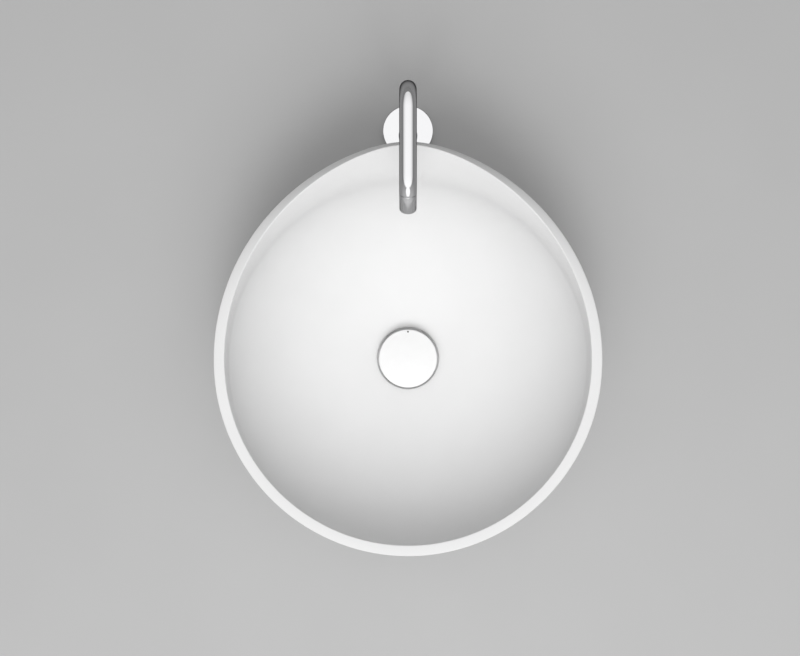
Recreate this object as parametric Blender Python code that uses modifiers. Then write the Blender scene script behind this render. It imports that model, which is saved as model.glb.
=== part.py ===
# Round vessel basin with a raised back lip, its click waste, and a deck tap with a gooseneck spout.
# Units are metres, +Z is up. The origin is on the counter top, on the drain's axis.
# -Y is towards the user and +Y towards the tap.

from math import asin, atan2, cos, hypot, pi, radians, sin, sqrt, tan

import bmesh
import bpy
from mathutils import Matrix

for old in list(bpy.data.objects):
    bpy.data.objects.remove(old, do_unlink=True)

# Clearances and counts that all pieces share
FIT_GAP = 0.0003
OVERRUN = 0.002
MERGE_DISTANCE = 0.00001
FINE_STEPS = 32
ROUND_STEPS = 24
SMALL_STEPS = 16
HOLE_STEPS = 12
HEX_SIDES = 6
ARC_POINTS = 6
RING_SECTION_POINTS = 6

# Counter that the set is mounted on
COUNTER_THICKNESS = 0.030

# Basin: the rim in plan and in height
RIM_OUTER_RADIUS = 0.210
RIM_WALL = 0.012
RIM_EDGE_ROUNDING = 0.0012
FRONT_RIM_HEIGHT = 0.140
LIP_RISE = 0.042
LIP_RISE_POWER = 1.9
LIP_REACH = 0.0343
LIP_REACH_POWER = 2.3
LIP_LEAN = radians(64)
LIP_LEAN_POWER = 1.4
LIP_SPREAD = radians(91)
LIP_POINT_ROUNDING = radians(8)
LIP_FLATNESS_SHARE = 1.8
WALL_DRAFT = radians(8)

# Basin: the bowl below the rim
BOWL_FLOOR_HEIGHT = 0.027
WIDEST_ABOVE_RIM = 0.010
OUTER_BELLY_SINK = 0.013
SHOULDER_DROP = 0.010
BASIN_STEPS = 64
BOWL_RINGS = 8
RING_CROWDING = 1.6
FLARE_RINGS = 6

# Basin: foot and drain
DRAIN_HOLE_RADIUS = 0.023
DRAIN_RECESS_RADIUS = 0.0368
DRAIN_RECESS_DEPTH = 0.0043
DRAIN_EDGE_ROUNDING = 0.0012
FOOT_EDGE_HEIGHT = 0.002
FOOT_RING_WIDTH = 0.018
FOOT_HOLLOW_DEPTH = 0.004
SEAL_GROOVE_INSET = 0.0065
SEAL_WIDTH = 0.006
SEAL_HEIGHT = 0.0017

# Waste: body, flange and seat
WASTE_THREAD_RADIUS = 0.0209
WASTE_BORE_RADIUS = 0.0189
WASTE_NECK_RADIUS = 0.0225
WASTE_NECK_LENGTH = 0.014
FLANGE_RADIUS = 0.034
FLANGE_THICKNESS = 0.0024
FLANGE_LIP_WIDTH = 0.001
SEAT_FLARE = 0.0024
SEAT_TOP_DROP = 0.0019
SEAT_HEIGHT = 0.0051
FLANGE_GASKET_THICKNESS = 0.001
FLANGE_GASKET_INSET = 0.0005
WASTE_TAIL_BELOW_COUNTER = 0.032
SPIDER_HUB_RADIUS = 0.009
SPIDER_HUB_HEIGHT = 0.006
SPIDER_TOP_BELOW_COUNTER_TOP = 0.002
SPIDER_ARM_WIDTH = 0.003
SPIDER_ARM_COUNT = 3
SPIDER_ARM_BITE = 0.001

# Waste: clamping pieces under the counter
WASTE_WASHER_RADIUS = 0.032
WASTE_RUBBER_THICKNESS = 0.003
WASTE_SLIP_RADIUS = 0.031
WASTE_SLIP_THICKNESS = 0.001
WASTE_NUT_CORNER_RADIUS = 0.030
WASTE_NUT_HEIGHT = 0.009

# Waste: cap, carrier and click works
CAP_RADIUS = 0.0347
CAP_EDGE_THICKNESS = 0.004
CAP_CROWN = 0.005
CAP_EDGE_ROUNDING = 0.0011
CAP_EDGE_BEVEL = 0.0006
CAP_TRAVEL = 0.009
CAP_CLOSED_GAP = 0.00055
CAP_DIMPLE_RADIUS = 0.001
CAP_DIMPLE_DEPTH = 0.003
CAP_DIMPLE_INSET = 0.0024
PLUG_SEAL_THICKNESS = 0.0036
PLUG_SEAL_RADIUS = 0.019
CARRIER_LIP_RADIUS = 0.0183
CARRIER_LIP_THICKNESS = 0.0008
CARRIER_BOSS_RADIUS = 0.006
CARRIER_BOSS_LENGTH = 0.0035
STEM_RADIUS = 0.003
STEM_TIP_LENGTH = 0.001
STEM_SOCKET_DEPTH = 0.0065
CARTRIDGE_COLLAR_RADIUS = 0.0078
CARTRIDGE_COLLAR_HEIGHT = 0.0027
CARTRIDGE_RADIUS = 0.006
CARTRIDGE_CHAMBER_RADIUS = 0.0048
CARTRIDGE_TOP_WALL = 0.003
CARTRIDGE_END_WALL = 0.002
CARTRIDGE_DRAIN_RADIUS = 0.0015
LATCH_RADIUS = 0.0044
LATCH_HEIGHT = 0.004
LATCH_TOP_GAP = 0.002
SPRING_WIRE_RADIUS = 0.0005
SPRING_COIL_RADIUS = 0.0044
SPRING_TURNS = 6
SPRING_POINTS_PER_TURN = 8
SPRING_BEVEL_RESOLUTION = 1

# Tap: places on the counter
PLATE_BEHIND_LIP_EDGE = 0.0157
RISER_OFFSET = 0.007
LEVER_OFFSET = 0.015

# Tap: round plate on the counter
PLATE_RADIUS = 0.031
PLATE_THICKNESS = 0.010
PLATE_EDGE_BEVEL = 0.0006
PLATE_HOLLOW_DEPTH = 0.005
BOSS_RADIUS = 0.0102
BOSS_HEIGHT = 0.0028
PLATE_GASKET_RADIUS = 0.0276
PLATE_GASKET_WIDTH = 0.0012
PLATE_GASKET_HEIGHT = 0.0009

# Tap: valve body through the counter
VALVE_RADIUS = 0.026
VALVE_BELOW_COUNTER = 0.028
SOCKET_END_BELOW_COUNTER_TOP = 0.028
POCKET_DEPTH = 0.0177
PORT_RADIUS = 0.0015
PORT_OFFSET = 0.0042
INLET_BORE_RADIUS = 0.0042
INLET_SPACING = 0.016
INLET_TOP_BELOW_POCKET = 0.011
CROSS_DRILL_RADIUS = 0.0017
CROSS_DRILL_BELOW_POCKET = 0.007
TAP_WASHER_RADIUS = 0.034
TAP_RUBBER_THICKNESS = 0.003
TAP_STEEL_THICKNESS = 0.0015
TAP_NUT_CORNER_RADIUS = 0.037
TAP_NUT_HEIGHT = 0.009
INLET_HEX_RADIUS = 0.007
INLET_HEX_HEIGHT = 0.004
INLET_TAIL_RADIUS = 0.005
INLET_TAIL_LENGTH = 0.012
INLET_THREAD_LENGTH = 0.012
INLET_BORE_SHARE = 0.6

# Tap: spout tube and nozzle
TUBE_RADIUS = 0.0083
TUBE_WALL = 0.001
SPOUT_TOP_HEIGHT = 0.281
BACK_BEND_RADIUS = 0.0225
FRONT_BEND_RADIUS = 0.035
FRONT_BEND_TURN = radians(27.5)
NOZZLE_JOINT_REACH = 0.1029
NOZZLE_RADIUS = 0.00815
NOZZLE_WALL = 0.0014
NOZZLE_BEND_RADIUS = 0.010
NOZZLE_DROP = radians(46.5)
NOZZLE_STRAIGHT = 0.0130
NOZZLE_JOINT_LEAD = 0.0008
TUBE_BEVEL_RESOLUTION = 6
BEND_STEP = radians(10)
AERATOR_HEIGHT = 0.006
AERATOR_PLATE = 0.0012
AERATOR_RIM = 0.001
AERATOR_HOLE_RADIUS = 0.0011
AERATOR_RECESS = 0.0008
AERATOR_HOLE_COUNT = 6
AERATOR_HOLE_RING_SHARE = 0.5
AERATOR_WASHER_HEIGHT = 0.0012
AERATOR_WASHER_WIDTH = 0.0015

# Tap: swivel at the foot of the spout
SLEEVE_BORE_RADIUS = 0.0045
SLEEVE_IN_TUBE = 0.0144
SLEEVE_FLANGE_RADIUS = 0.010
SLEEVE_FLANGE_THICKNESS = 0.0013
SLEEVE_END_GAP = 0.002
SWIVEL_WASHER_THICKNESS = 0.0006
ORING_THICKNESS = 0.00124
ORING_GROOVE_WIDTH = 0.002
ORING_UPPER_BELOW_COUNTER_TOP = 0.0082
ORING_SPACING = 0.008
COLLAR_RADIUS = 0.0115
COLLAR_HEIGHT = 0.0087
COLLAR_TOP_ROUNDING = 0.0015

# Tap: joystick cartridge and control
PIVOT_HEIGHT = 0.004
DOME_RADIUS = 0.009
DOME_WALL = 0.0015
DOME_REACH = radians(73)
DOME_CLEARANCE = 0.00035
LEVER_TILT = radians(25)
SPINDLE_RADIUS = 0.0022
SPINDLE_ABOVE_PIVOT = 0.0215
SPINDLE_BELOW_PIVOT = 0.0055
SPINDLE_NECK_RADIUS = 0.001
SPINDLE_BALL_RADIUS = 0.0016
SPINDLE_BALL_DEPTH = 0.0082
SPINDLE_BALL_SHOULDER = radians(50)
PIVOT_PIN_RADIUS = 0.001
PIVOT_PIN_LENGTH = 0.0092
GUIDE_RADIUS = 0.005
GUIDE_ABOVE_PIVOT = 0.0025
GUIDE_FLANGE_RADIUS = 0.0076
GUIDE_FLANGE_HEIGHT = 0.002
GUIDE_SHAFT_BELOW_PIVOT = 0.005
GUIDE_SLOT_WIDTH = 0.0052
HOUSING_RADIUS = 0.009
HOUSING_WALL = 0.001
HOUSING_TOP_BELOW_PIVOT = 0.0018
MOVING_DISC_RADIUS = 0.0043
MOVING_DISC_THICKNESS = 0.0037
MOVING_DISC_POCKET_RADIUS = 0.0021
MOVING_DISC_POCKET_DEPTH = 0.0029
FIXED_DISC_THICKNESS = 0.0027
LEVER_RADIUS = 0.0032
LEVER_LENGTH = 0.0485
LEVER_END_ROUNDING = 0.0008

# Levels worked out from the sizes above
COUNTER_UNDERSIDE = -COUNTER_THICKNESS
BOWL_INNER_RADIUS = RIM_OUTER_RADIUS - RIM_WALL
WIDEST_HEIGHT = FRONT_RIM_HEIGHT + WIDEST_ABOVE_RIM
INNER_BELLY_DEPTH = WIDEST_HEIGHT - BOWL_FLOOR_HEIGHT
OUTER_BELLY_DEPTH = WIDEST_HEIGHT + OUTER_BELLY_SINK
LIP_INNER_EDGE = BOWL_INNER_RADIUS + LIP_REACH
PLATE_CENTRE_Y = LIP_INNER_EDGE + PLATE_BEHIND_LIP_EDGE + PLATE_RADIUS
RISER_Y = PLATE_CENTRE_Y - RISER_OFFSET
LEVER_Y = PLATE_CENTRE_Y + LEVER_OFFSET


def belly_radius(rim_radius, depth, height):
    """Radius of a bowl wall, a quarter ellipse that passes through the front rim."""
    widest = rim_radius / sqrt(1 - (WIDEST_ABOVE_RIM / depth) ** 2)
    return widest * sqrt(1 - ((WIDEST_HEIGHT - height) / depth) ** 2)


def belly_height(rim_radius, depth, radius):
    """Height of the same wall at a given radius."""
    widest = rim_radius / sqrt(1 - (WIDEST_ABOVE_RIM / depth) ** 2)
    return WIDEST_HEIGHT - depth * sqrt(1 - (radius / widest) ** 2)


RECESS_EDGE_HEIGHT = belly_height(BOWL_INNER_RADIUS, INNER_BELLY_DEPTH,
                                  DRAIN_RECESS_RADIUS + DRAIN_EDGE_ROUNDING)
RECESS_FLOOR = RECESS_EDGE_HEIGHT - DRAIN_RECESS_DEPTH
FOOT_RADIUS = belly_radius(RIM_OUTER_RADIUS, OUTER_BELLY_DEPTH, FOOT_EDGE_HEIGHT)

FLANGE_UNDERSIDE = RECESS_FLOOR + FIT_GAP + FLANGE_GASKET_THICKNESS + FIT_GAP
FLANGE_TOP = FLANGE_UNDERSIDE + FLANGE_THICKNESS
SEAT_TOP = FLANGE_TOP - SEAT_TOP_DROP
SEAT_BOTTOM = SEAT_TOP - SEAT_HEIGHT
SEAT_TOP_RADIUS = WASTE_BORE_RADIUS + SEAT_FLARE
WASTE_END = COUNTER_UNDERSIDE - WASTE_TAIL_BELOW_COUNTER
SPIDER_TOP = -SPIDER_TOP_BELOW_COUNTER_TOP

CAP_CLOSED_UNDERSIDE = belly_height(BOWL_INNER_RADIUS, INNER_BELLY_DEPTH, CAP_RADIUS) + CAP_CLOSED_GAP
CAP_UNDERSIDE = CAP_CLOSED_UNDERSIDE + CAP_TRAVEL

# The closed plug seal lies against the seat's cone; open, it is one travel higher
SEAT_SLOPE = hypot(SEAT_FLARE, SEAT_HEIGHT)
SEAL_TO_CONE = (PLUG_SEAL_THICKNESS / 2 + FIT_GAP) * SEAT_SLOPE
SEAL_OUTSET = (PLUG_SEAL_RADIUS - WASTE_BORE_RADIUS) * SEAT_HEIGHT
PLUG_SEAL_CLOSED = SEAT_BOTTOM + (SEAL_TO_CONE + SEAL_OUTSET) / SEAT_FLARE
PLUG_SEAL_HEIGHT = PLUG_SEAL_CLOSED + CAP_TRAVEL
CARRIER_HUB_RADIUS = PLUG_SEAL_RADIUS - PLUG_SEAL_THICKNESS / 2 - FIT_GAP
CARRIER_TOP = CAP_UNDERSIDE - FIT_GAP
CARRIER_LIP_TOP = PLUG_SEAL_HEIGHT - PLUG_SEAL_THICKNESS / 2 - FIT_GAP
CARRIER_LIP_UNDERSIDE = CARRIER_LIP_TOP - CARRIER_LIP_THICKNESS
CARRIER_END = CARRIER_LIP_UNDERSIDE - CARRIER_BOSS_LENGTH
CARTRIDGE_COLLAR_UNDERSIDE = SPIDER_TOP + FIT_GAP
CARTRIDGE_TOP = CARTRIDGE_COLLAR_UNDERSIDE + CARTRIDGE_COLLAR_HEIGHT
CHAMBER_TOP = CARTRIDGE_TOP - CARTRIDGE_TOP_WALL
LATCH_TOP = CHAMBER_TOP - LATCH_TOP_GAP
LATCH_BOTTOM = LATCH_TOP - LATCH_HEIGHT
STEM_END = LATCH_BOTTOM - STEM_TIP_LENGTH
CHAMBER_BOTTOM = STEM_END - CAP_TRAVEL - LATCH_TOP_GAP
CARTRIDGE_END = CHAMBER_BOTTOM - CARTRIDGE_END_WALL

PLATE_CEILING = PLATE_HOLLOW_DEPTH
VALVE_TOP = PLATE_CEILING - FIT_GAP
VALVE_END = COUNTER_UNDERSIDE - VALVE_BELOW_COUNTER
BOSS_TOP = PLATE_THICKNESS + BOSS_HEIGHT
SWIVEL_WASHER_BOTTOM = BOSS_TOP + FIT_GAP
SLEEVE_FLANGE_BOTTOM = SWIVEL_WASHER_BOTTOM + SWIVEL_WASHER_THICKNESS + FIT_GAP
SLEEVE_FLANGE_TOP = SLEEVE_FLANGE_BOTTOM + SLEEVE_FLANGE_THICKNESS
TUBE_FOOT = SLEEVE_FLANGE_TOP + FIT_GAP
TUBE_BORE_RADIUS = TUBE_RADIUS - TUBE_WALL
SLEEVE_RADIUS = TUBE_BORE_RADIUS - FIT_GAP
SOCKET_RADIUS = SLEEVE_RADIUS + FIT_GAP
SOCKET_END = -SOCKET_END_BELOW_COUNTER_TOP
SLEEVE_END = SOCKET_END + SLEEVE_END_GAP
POCKET_RADIUS = HOUSING_RADIUS + FIT_GAP
POCKET_FLOOR = VALVE_TOP - POCKET_DEPTH
HOUSING_TOP = PIVOT_HEIGHT - HOUSING_TOP_BELOW_PIVOT
HOUSING_END = POCKET_FLOOR + FIT_GAP
GUIDE_FLANGE_TOP = PIVOT_HEIGHT - GUIDE_SHAFT_BELOW_PIVOT
GUIDE_FLANGE_BOTTOM = GUIDE_FLANGE_TOP - GUIDE_FLANGE_HEIGHT
SPINDLE_HALF_WIDTH = SPINDLE_RADIUS / cos(LEVER_TILT) + FIT_GAP
GUIDE_SLOT_FRONT = SPINDLE_BELOW_PIVOT * tan(LEVER_TILT) + SPINDLE_HALF_WIDTH
GUIDE_SLOT_BACK = GUIDE_ABOVE_PIVOT * tan(LEVER_TILT) + SPINDLE_HALF_WIDTH
HOUSING_CEILING = GUIDE_FLANGE_TOP + FIT_GAP
MOVING_DISC_TOP = GUIDE_FLANGE_BOTTOM - FIT_GAP
FIXED_DISC_TOP = MOVING_DISC_TOP - MOVING_DISC_THICKNESS - FIT_GAP
DISC_SEAL_TOP = FIXED_DISC_TOP - FIXED_DISC_THICKNESS - FIT_GAP
FIXED_DISC_RADIUS = HOUSING_RADIUS - HOUSING_WALL - FIT_GAP

parts = bpy.data.collections.new("vessel_basin_with_tap")
cutters = bpy.data.collections.new("cutters")
bpy.context.scene.collection.children.link(parts)
bpy.context.scene.collection.children.link(cutters)


def make_material(name, colour, roughness, metallic):
    """Principled material with one colour."""
    material = bpy.data.materials.new(name)
    material.use_nodes = True
    shader = material.node_tree.nodes["Principled BSDF"]
    shader.inputs["Base Color"].default_value = (*colour, 1.0)
    shader.inputs["Roughness"].default_value = roughness
    shader.inputs["Metallic"].default_value = metallic
    return material


def white_ceramic(name):
    return make_material(name, (0.86, 0.86, 0.85), 0.35, 0.0)


def polished_chrome(name):
    return make_material(name, (0.78, 0.79, 0.80), 0.06, 1.0)


def raw_brass(name):
    return make_material(name, (0.72, 0.55, 0.28), 0.35, 1.0)


def black_rubber(name):
    return make_material(name, (0.03, 0.03, 0.03), 0.7, 0.0)


def white_plastic(name):
    return make_material(name, (0.80, 0.80, 0.78), 0.45, 0.0)


def stainless_steel(name):
    return make_material(name, (0.60, 0.60, 0.60), 0.3, 1.0)


def grey_alumina(name):
    return make_material(name, (0.70, 0.70, 0.68), 0.2, 0.0)


def make_axis(name, location, parent=None):
    """Empty on a joint's axis, which carries the pieces that move there."""
    empty = bpy.data.objects.new(name, None)
    empty.location = location
    empty.parent = parent
    parts.objects.link(empty)
    return empty


def add_part(name, data, material, parent=None, location=(0, 0, 0)):
    """Put a mesh or curve in the model under its own name and material."""
    piece = bpy.data.objects.new(name, data)
    piece.data.materials.append(material(name))
    piece.parent = parent
    piece.location = location
    parts.objects.link(piece)
    return piece


def add_cutter(name, data, location=(0, 0, 0)):
    """Put a cutting or joining tool beside the model."""
    tool = bpy.data.objects.new(name, data)
    tool.location = location
    tool.display_type = "WIRE"
    tool.hide_render = True
    cutters.objects.link(tool)
    return tool


def combine(target, tool, operation):
    """Cut a tool out of a piece or join it on."""
    step = target.modifiers.new(tool.name, "BOOLEAN")
    step.operation = operation
    step.solver = "EXACT"
    step.object = tool


def profile_mesh(name, points, closed):
    """Outline in the XZ plane for a Screw modifier, outer side top to bottom."""
    count = len(points)
    edges = [(i, i + 1) for i in range(count - 1)]
    if closed:
        edges.append((count - 1, 0))
    mesh = bpy.data.meshes.new(name)
    mesh.from_pydata([(r, 0, z) for r, z in points], edges, [])
    return mesh


def spin_profile(piece, steps):
    """Turn a piece's outline once about Z."""
    screw = piece.modifiers.new("turn", "SCREW")
    screw.axis = "Z"
    screw.angle = 2 * pi
    screw.steps = steps
    screw.render_steps = steps
    screw.use_merge_vertices = True
    screw.merge_threshold = MERGE_DISTANCE
    screw.use_smooth_shade = True


def turned(name, points, material, parent=None, location=(0, 0, 0), steps=ROUND_STEPS):
    """Lathe-turned piece. An outline that starts on the axis is open, any other is a ring."""
    mesh = profile_mesh(name, points, closed=points[0][0] > 0)
    piece = add_part(name, mesh, material, parent, location)
    spin_profile(piece, steps)
    return piece


def turned_cutter(name, points, location=(0, 0, 0), steps=ROUND_STEPS):
    """Lathe-turned cutting tool."""
    tool = add_cutter(name, profile_mesh(name, points, closed=points[0][0] > 0), location)
    spin_profile(tool, steps)
    return tool


def ring(inner, outer, bottom, top):
    """Outline of a flat ring."""
    return [(outer, top), (outer, bottom), (inner, bottom), (inner, top)]


def disc(radius, bottom, top):
    """Outline of a solid cylinder on the axis."""
    return [(0, top), (radius, top), (radius, bottom), (0, bottom)]


def arc(centre_r, centre_z, radius, start, end, count):
    """Points of an arc in the outline's plane, angles from +R towards +Z."""
    angles = [start + (end - start) * i / (count - 1) for i in range(count)]
    return [(centre_r + radius * cos(a), centre_z + radius * sin(a)) for a in angles]


def round_section(centre_r, centre_z, radius):
    """Outline of a ring of round section."""
    last = -2 * pi * (RING_SECTION_POINTS - 1) / RING_SECTION_POINTS
    return arc(centre_r, centre_z, radius, 0, last, RING_SECTION_POINTS)


def rod_mesh(name, radius, length, sides, axis="Z"):
    """Cylinder or prism centred on its own origin, along Z, X or Y."""
    shape = bmesh.new()
    bmesh.ops.create_cone(shape, cap_ends=True, segments=sides, radius1=radius, radius2=radius, depth=length)
    if axis != "Z":
        turn = Matrix.Rotation(pi / 2, 3, "Y" if axis == "X" else "X")
        bmesh.ops.rotate(shape, cent=(0, 0, 0), matrix=turn, verts=shape.verts)
    mesh = bpy.data.meshes.new(name)
    shape.to_mesh(mesh)
    shape.free()
    return mesh


def rod_cutter(name, radius, low, high, x=0, y=0, sides=ROUND_STEPS):
    """Upright cylinder tool between two heights."""
    mesh = rod_mesh(name, radius, high - low, sides)
    return add_cutter(name, mesh, (x, y, (low + high) / 2))


def box_cutter(name, size, centre):
    """Box tool of a given size about its centre."""
    shape = bmesh.new()
    bmesh.ops.create_cube(shape, size=1)
    bmesh.ops.scale(shape, vec=size, verts=shape.verts)
    mesh = bpy.data.meshes.new(name)
    shape.to_mesh(mesh)
    shape.free()
    return add_cutter(name, mesh, centre)


def lip_share(turn):
    """How far the lip has developed, 1 at the back and 0 from the sides to the front."""
    from_back = pi - abs(turn)
    softened = hypot(from_back, LIP_POINT_ROUNDING) - LIP_POINT_ROUNDING
    return max(0, 1 - softened / LIP_SPREAD)


def flare(start, start_lean, end, end_lean, count):
    """Smooth curve that keeps near its end's lean; leans are measured outwards from upright."""
    span = hypot(end[0] - start[0], end[1] - start[1])
    points = []
    for i in range(1, count + 1):
        t = i / count
        h00 = 2 * t ** 3 - 3 * t ** 2 + 1
        h10 = t ** 3 - 2 * t ** 2 + t
        h01 = 3 * t ** 2 - 2 * t ** 3
        h11 = (t ** 3 - t ** 2) * LIP_FLATNESS_SHARE
        r = h00 * start[0] + h10 * span * sin(start_lean) + h01 * end[0] + h11 * span * sin(end_lean)
        z = h00 * start[1] + h10 * span * cos(start_lean) + h01 * end[1] + h11 * span * cos(end_lean)
        points.append((r, z))
    return points


def wall_curve(rim_radius, depth, low_height, shoulder, lip, lip_lean):
    """One side of the basin's wall from low down to the lip's edge."""
    widest = rim_radius / sqrt(1 - (WIDEST_ABOVE_RIM / depth) ** 2)
    low_share = belly_radius(rim_radius, depth, low_height) / widest
    shoulder_share = belly_radius(rim_radius, depth, shoulder) / widest
    points = []
    for i in range(BOWL_RINGS + 1):
        radius_share = low_share + (shoulder_share - low_share) * (1 - (1 - i / BOWL_RINGS) ** RING_CROWDING)
        points.append((widest * radius_share, WIDEST_HEIGHT - depth * sqrt(1 - radius_share ** 2)))
    shoulder_lean = atan2(widest * sqrt(1 - shoulder_share ** 2), depth * shoulder_share)
    return points + flare(points[-1], shoulder_lean, lip, lip_lean, FLARE_RINGS)


def basin_section(turn):
    """Closed outline of the basin's wall at one turn about the drain, from the front."""
    share = lip_share(turn)
    lean = LIP_LEAN * share ** LIP_LEAN_POWER
    rise = LIP_RISE * ((1 - cos(turn)) / 2) ** LIP_RISE_POWER
    inner = (BOWL_INNER_RADIUS + LIP_REACH * share ** LIP_REACH_POWER, FRONT_RIM_HEIGHT + rise)
    outer = (inner[0] + RIM_WALL * cos(lean), inner[1] - RIM_WALL * sin(lean))
    along = (cos(lean) * RIM_EDGE_ROUNDING, -sin(lean) * RIM_EDGE_ROUNDING)
    down = (-sin(lean) * RIM_EDGE_ROUNDING, -cos(lean) * RIM_EDGE_ROUNDING)
    edge_lean = max(lean, WALL_DRAFT)

    recess_edge = RECESS_EDGE_HEIGHT
    section = [(DRAIN_HOLE_RADIUS, RECESS_FLOOR), (DRAIN_RECESS_RADIUS, RECESS_FLOOR),
               (DRAIN_RECESS_RADIUS, recess_edge - DRAIN_EDGE_ROUNDING)]
    inner_end = (inner[0] + down[0], inner[1] + down[1])
    inner_wall = wall_curve(BOWL_INNER_RADIUS, INNER_BELLY_DEPTH, recess_edge,
                            FRONT_RIM_HEIGHT - SHOULDER_DROP, inner_end, edge_lean)
    section += inner_wall
    section.append((inner[0] + along[0], inner[1] + along[1]))
    section.append((outer[0] - along[0], outer[1] - along[1]))
    outer_end = (outer[0] + down[0], outer[1] + down[1])
    outer_wall = wall_curve(RIM_OUTER_RADIUS, OUTER_BELLY_DEPTH, FOOT_EDGE_HEIGHT,
                            FRONT_RIM_HEIGHT - SHOULDER_DROP, outer_end, edge_lean)
    section += outer_wall[::-1]
    groove_outer = FOOT_RADIUS - SEAL_GROOVE_INSET
    groove_inner = groove_outer - SEAL_WIDTH - 2 * FIT_GAP
    groove_top = SEAL_HEIGHT + FIT_GAP
    hollow_radius = FOOT_RADIUS - FOOT_RING_WIDTH
    section += [(FOOT_RADIUS - FOOT_EDGE_HEIGHT, 0), (groove_outer, 0), (groove_outer, groove_top),
                (groove_inner, groove_top), (groove_inner, 0), (hollow_radius, 0),
                (hollow_radius, FOOT_HOLLOW_DEPTH), (DRAIN_HOLE_RADIUS, FOOT_HOLLOW_DEPTH)]
    return section


def build_basin():
    """Loft the basin's section round the drain, changing with the turn."""
    verts = []
    faces = []
    sections = [basin_section(2 * pi * i / BASIN_STEPS - pi) for i in range(BASIN_STEPS)]
    count = len(sections[0])
    for i, section in enumerate(sections):
        turn = 2 * pi * i / BASIN_STEPS - pi
        verts += [(r * sin(turn), -r * cos(turn), z) for r, z in section]
        following = (i + 1) % BASIN_STEPS
        for j in range(count):
            after = (j + 1) % count
            faces.append((i * count + j, i * count + after, following * count + after, following * count + j))
    mesh = bpy.data.meshes.new("basin_shell")
    mesh.from_pydata(verts, [], faces)
    mesh.shade_smooth()
    mesh.set_sharp_from_angle(angle=radians(30))
    add_part("basin_shell", mesh, white_ceramic)

    groove_outer = FOOT_RADIUS - SEAL_GROOVE_INSET
    outer = groove_outer - FIT_GAP
    turned("foot_seal", ring(outer - SEAL_WIDTH, outer, 0, SEAL_HEIGHT), black_rubber, steps=BASIN_STEPS)


def build_waste_body():
    """Flanged waste with its spider, its gasket and the pieces that clamp it from below."""
    neck_end = FLANGE_UNDERSIDE - WASTE_NECK_LENGTH
    outline = [(FLANGE_RADIUS, FLANGE_TOP), (FLANGE_RADIUS, FLANGE_UNDERSIDE),
               (WASTE_NECK_RADIUS, FLANGE_UNDERSIDE), (WASTE_NECK_RADIUS, neck_end),
               (WASTE_THREAD_RADIUS, neck_end), (WASTE_THREAD_RADIUS, WASTE_END),
               (WASTE_BORE_RADIUS, WASTE_END), (WASTE_BORE_RADIUS, SEAT_BOTTOM),
               (SEAT_TOP_RADIUS, SEAT_TOP), (FLANGE_RADIUS - FLANGE_LIP_WIDTH, FLANGE_TOP)]
    body = turned("waste_body", outline, polished_chrome)

    hub_bottom = SPIDER_TOP - SPIDER_HUB_HEIGHT
    hub_middle = (SPIDER_TOP + hub_bottom) / 2
    arm_end = WASTE_BORE_RADIUS + SPIDER_ARM_BITE
    for i in range(SPIDER_ARM_COUNT):
        turn = pi / 2 + 2 * pi * i / SPIDER_ARM_COUNT
        arm = box_cutter(f"spider_arm_{i + 1}", (arm_end, SPIDER_ARM_WIDTH, SPIDER_HUB_HEIGHT),
                         (arm_end / 2 * cos(turn), arm_end / 2 * sin(turn), hub_middle))
        arm.rotation_euler.z = turn
        combine(body, arm, "UNION")
    hub = rod_cutter("spider_hub", SPIDER_HUB_RADIUS, hub_bottom - FIT_GAP, SPIDER_TOP)
    combine(body, hub, "UNION")
    thread = rod_cutter("spider_thread", CARTRIDGE_RADIUS + FIT_GAP, hub_bottom - OVERRUN,
                        SPIDER_TOP + OVERRUN, sides=SMALL_STEPS)
    combine(body, thread, "DIFFERENCE")

    gasket_bottom = RECESS_FLOOR + FIT_GAP
    turned("flange_gasket", ring(WASTE_NECK_RADIUS + FIT_GAP, FLANGE_RADIUS - FLANGE_GASKET_INSET,
                                 gasket_bottom, gasket_bottom + FLANGE_GASKET_THICKNESS), black_rubber)

    inner = WASTE_THREAD_RADIUS + FIT_GAP
    rubber_bottom = COUNTER_UNDERSIDE - WASTE_RUBBER_THICKNESS
    turned("waste_rubber_washer", ring(inner, WASTE_WASHER_RADIUS, rubber_bottom, COUNTER_UNDERSIDE),
           black_rubber)
    slip_top = rubber_bottom - FIT_GAP
    slip_bottom = slip_top - WASTE_SLIP_THICKNESS
    turned("waste_slip_washer", ring(inner, WASTE_SLIP_RADIUS, slip_bottom, slip_top), white_plastic)
    hex_nut("waste_backnut", inner, WASTE_NUT_CORNER_RADIUS, slip_bottom - FIT_GAP, WASTE_NUT_HEIGHT, 0)


def hex_nut(name, bore_radius, corner_radius, top, height, y):
    """Six-sided brass nut with a plain bore."""
    mesh = rod_mesh(name, corner_radius, height, HEX_SIDES)
    nut = add_part(name, mesh, raw_brass, location=(0, y, top - height / 2))
    bore = rod_cutter(f"{name}_bore", bore_radius, top - height - OVERRUN, top + OVERRUN, y=y)
    combine(nut, bore, "DIFFERENCE")


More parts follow.
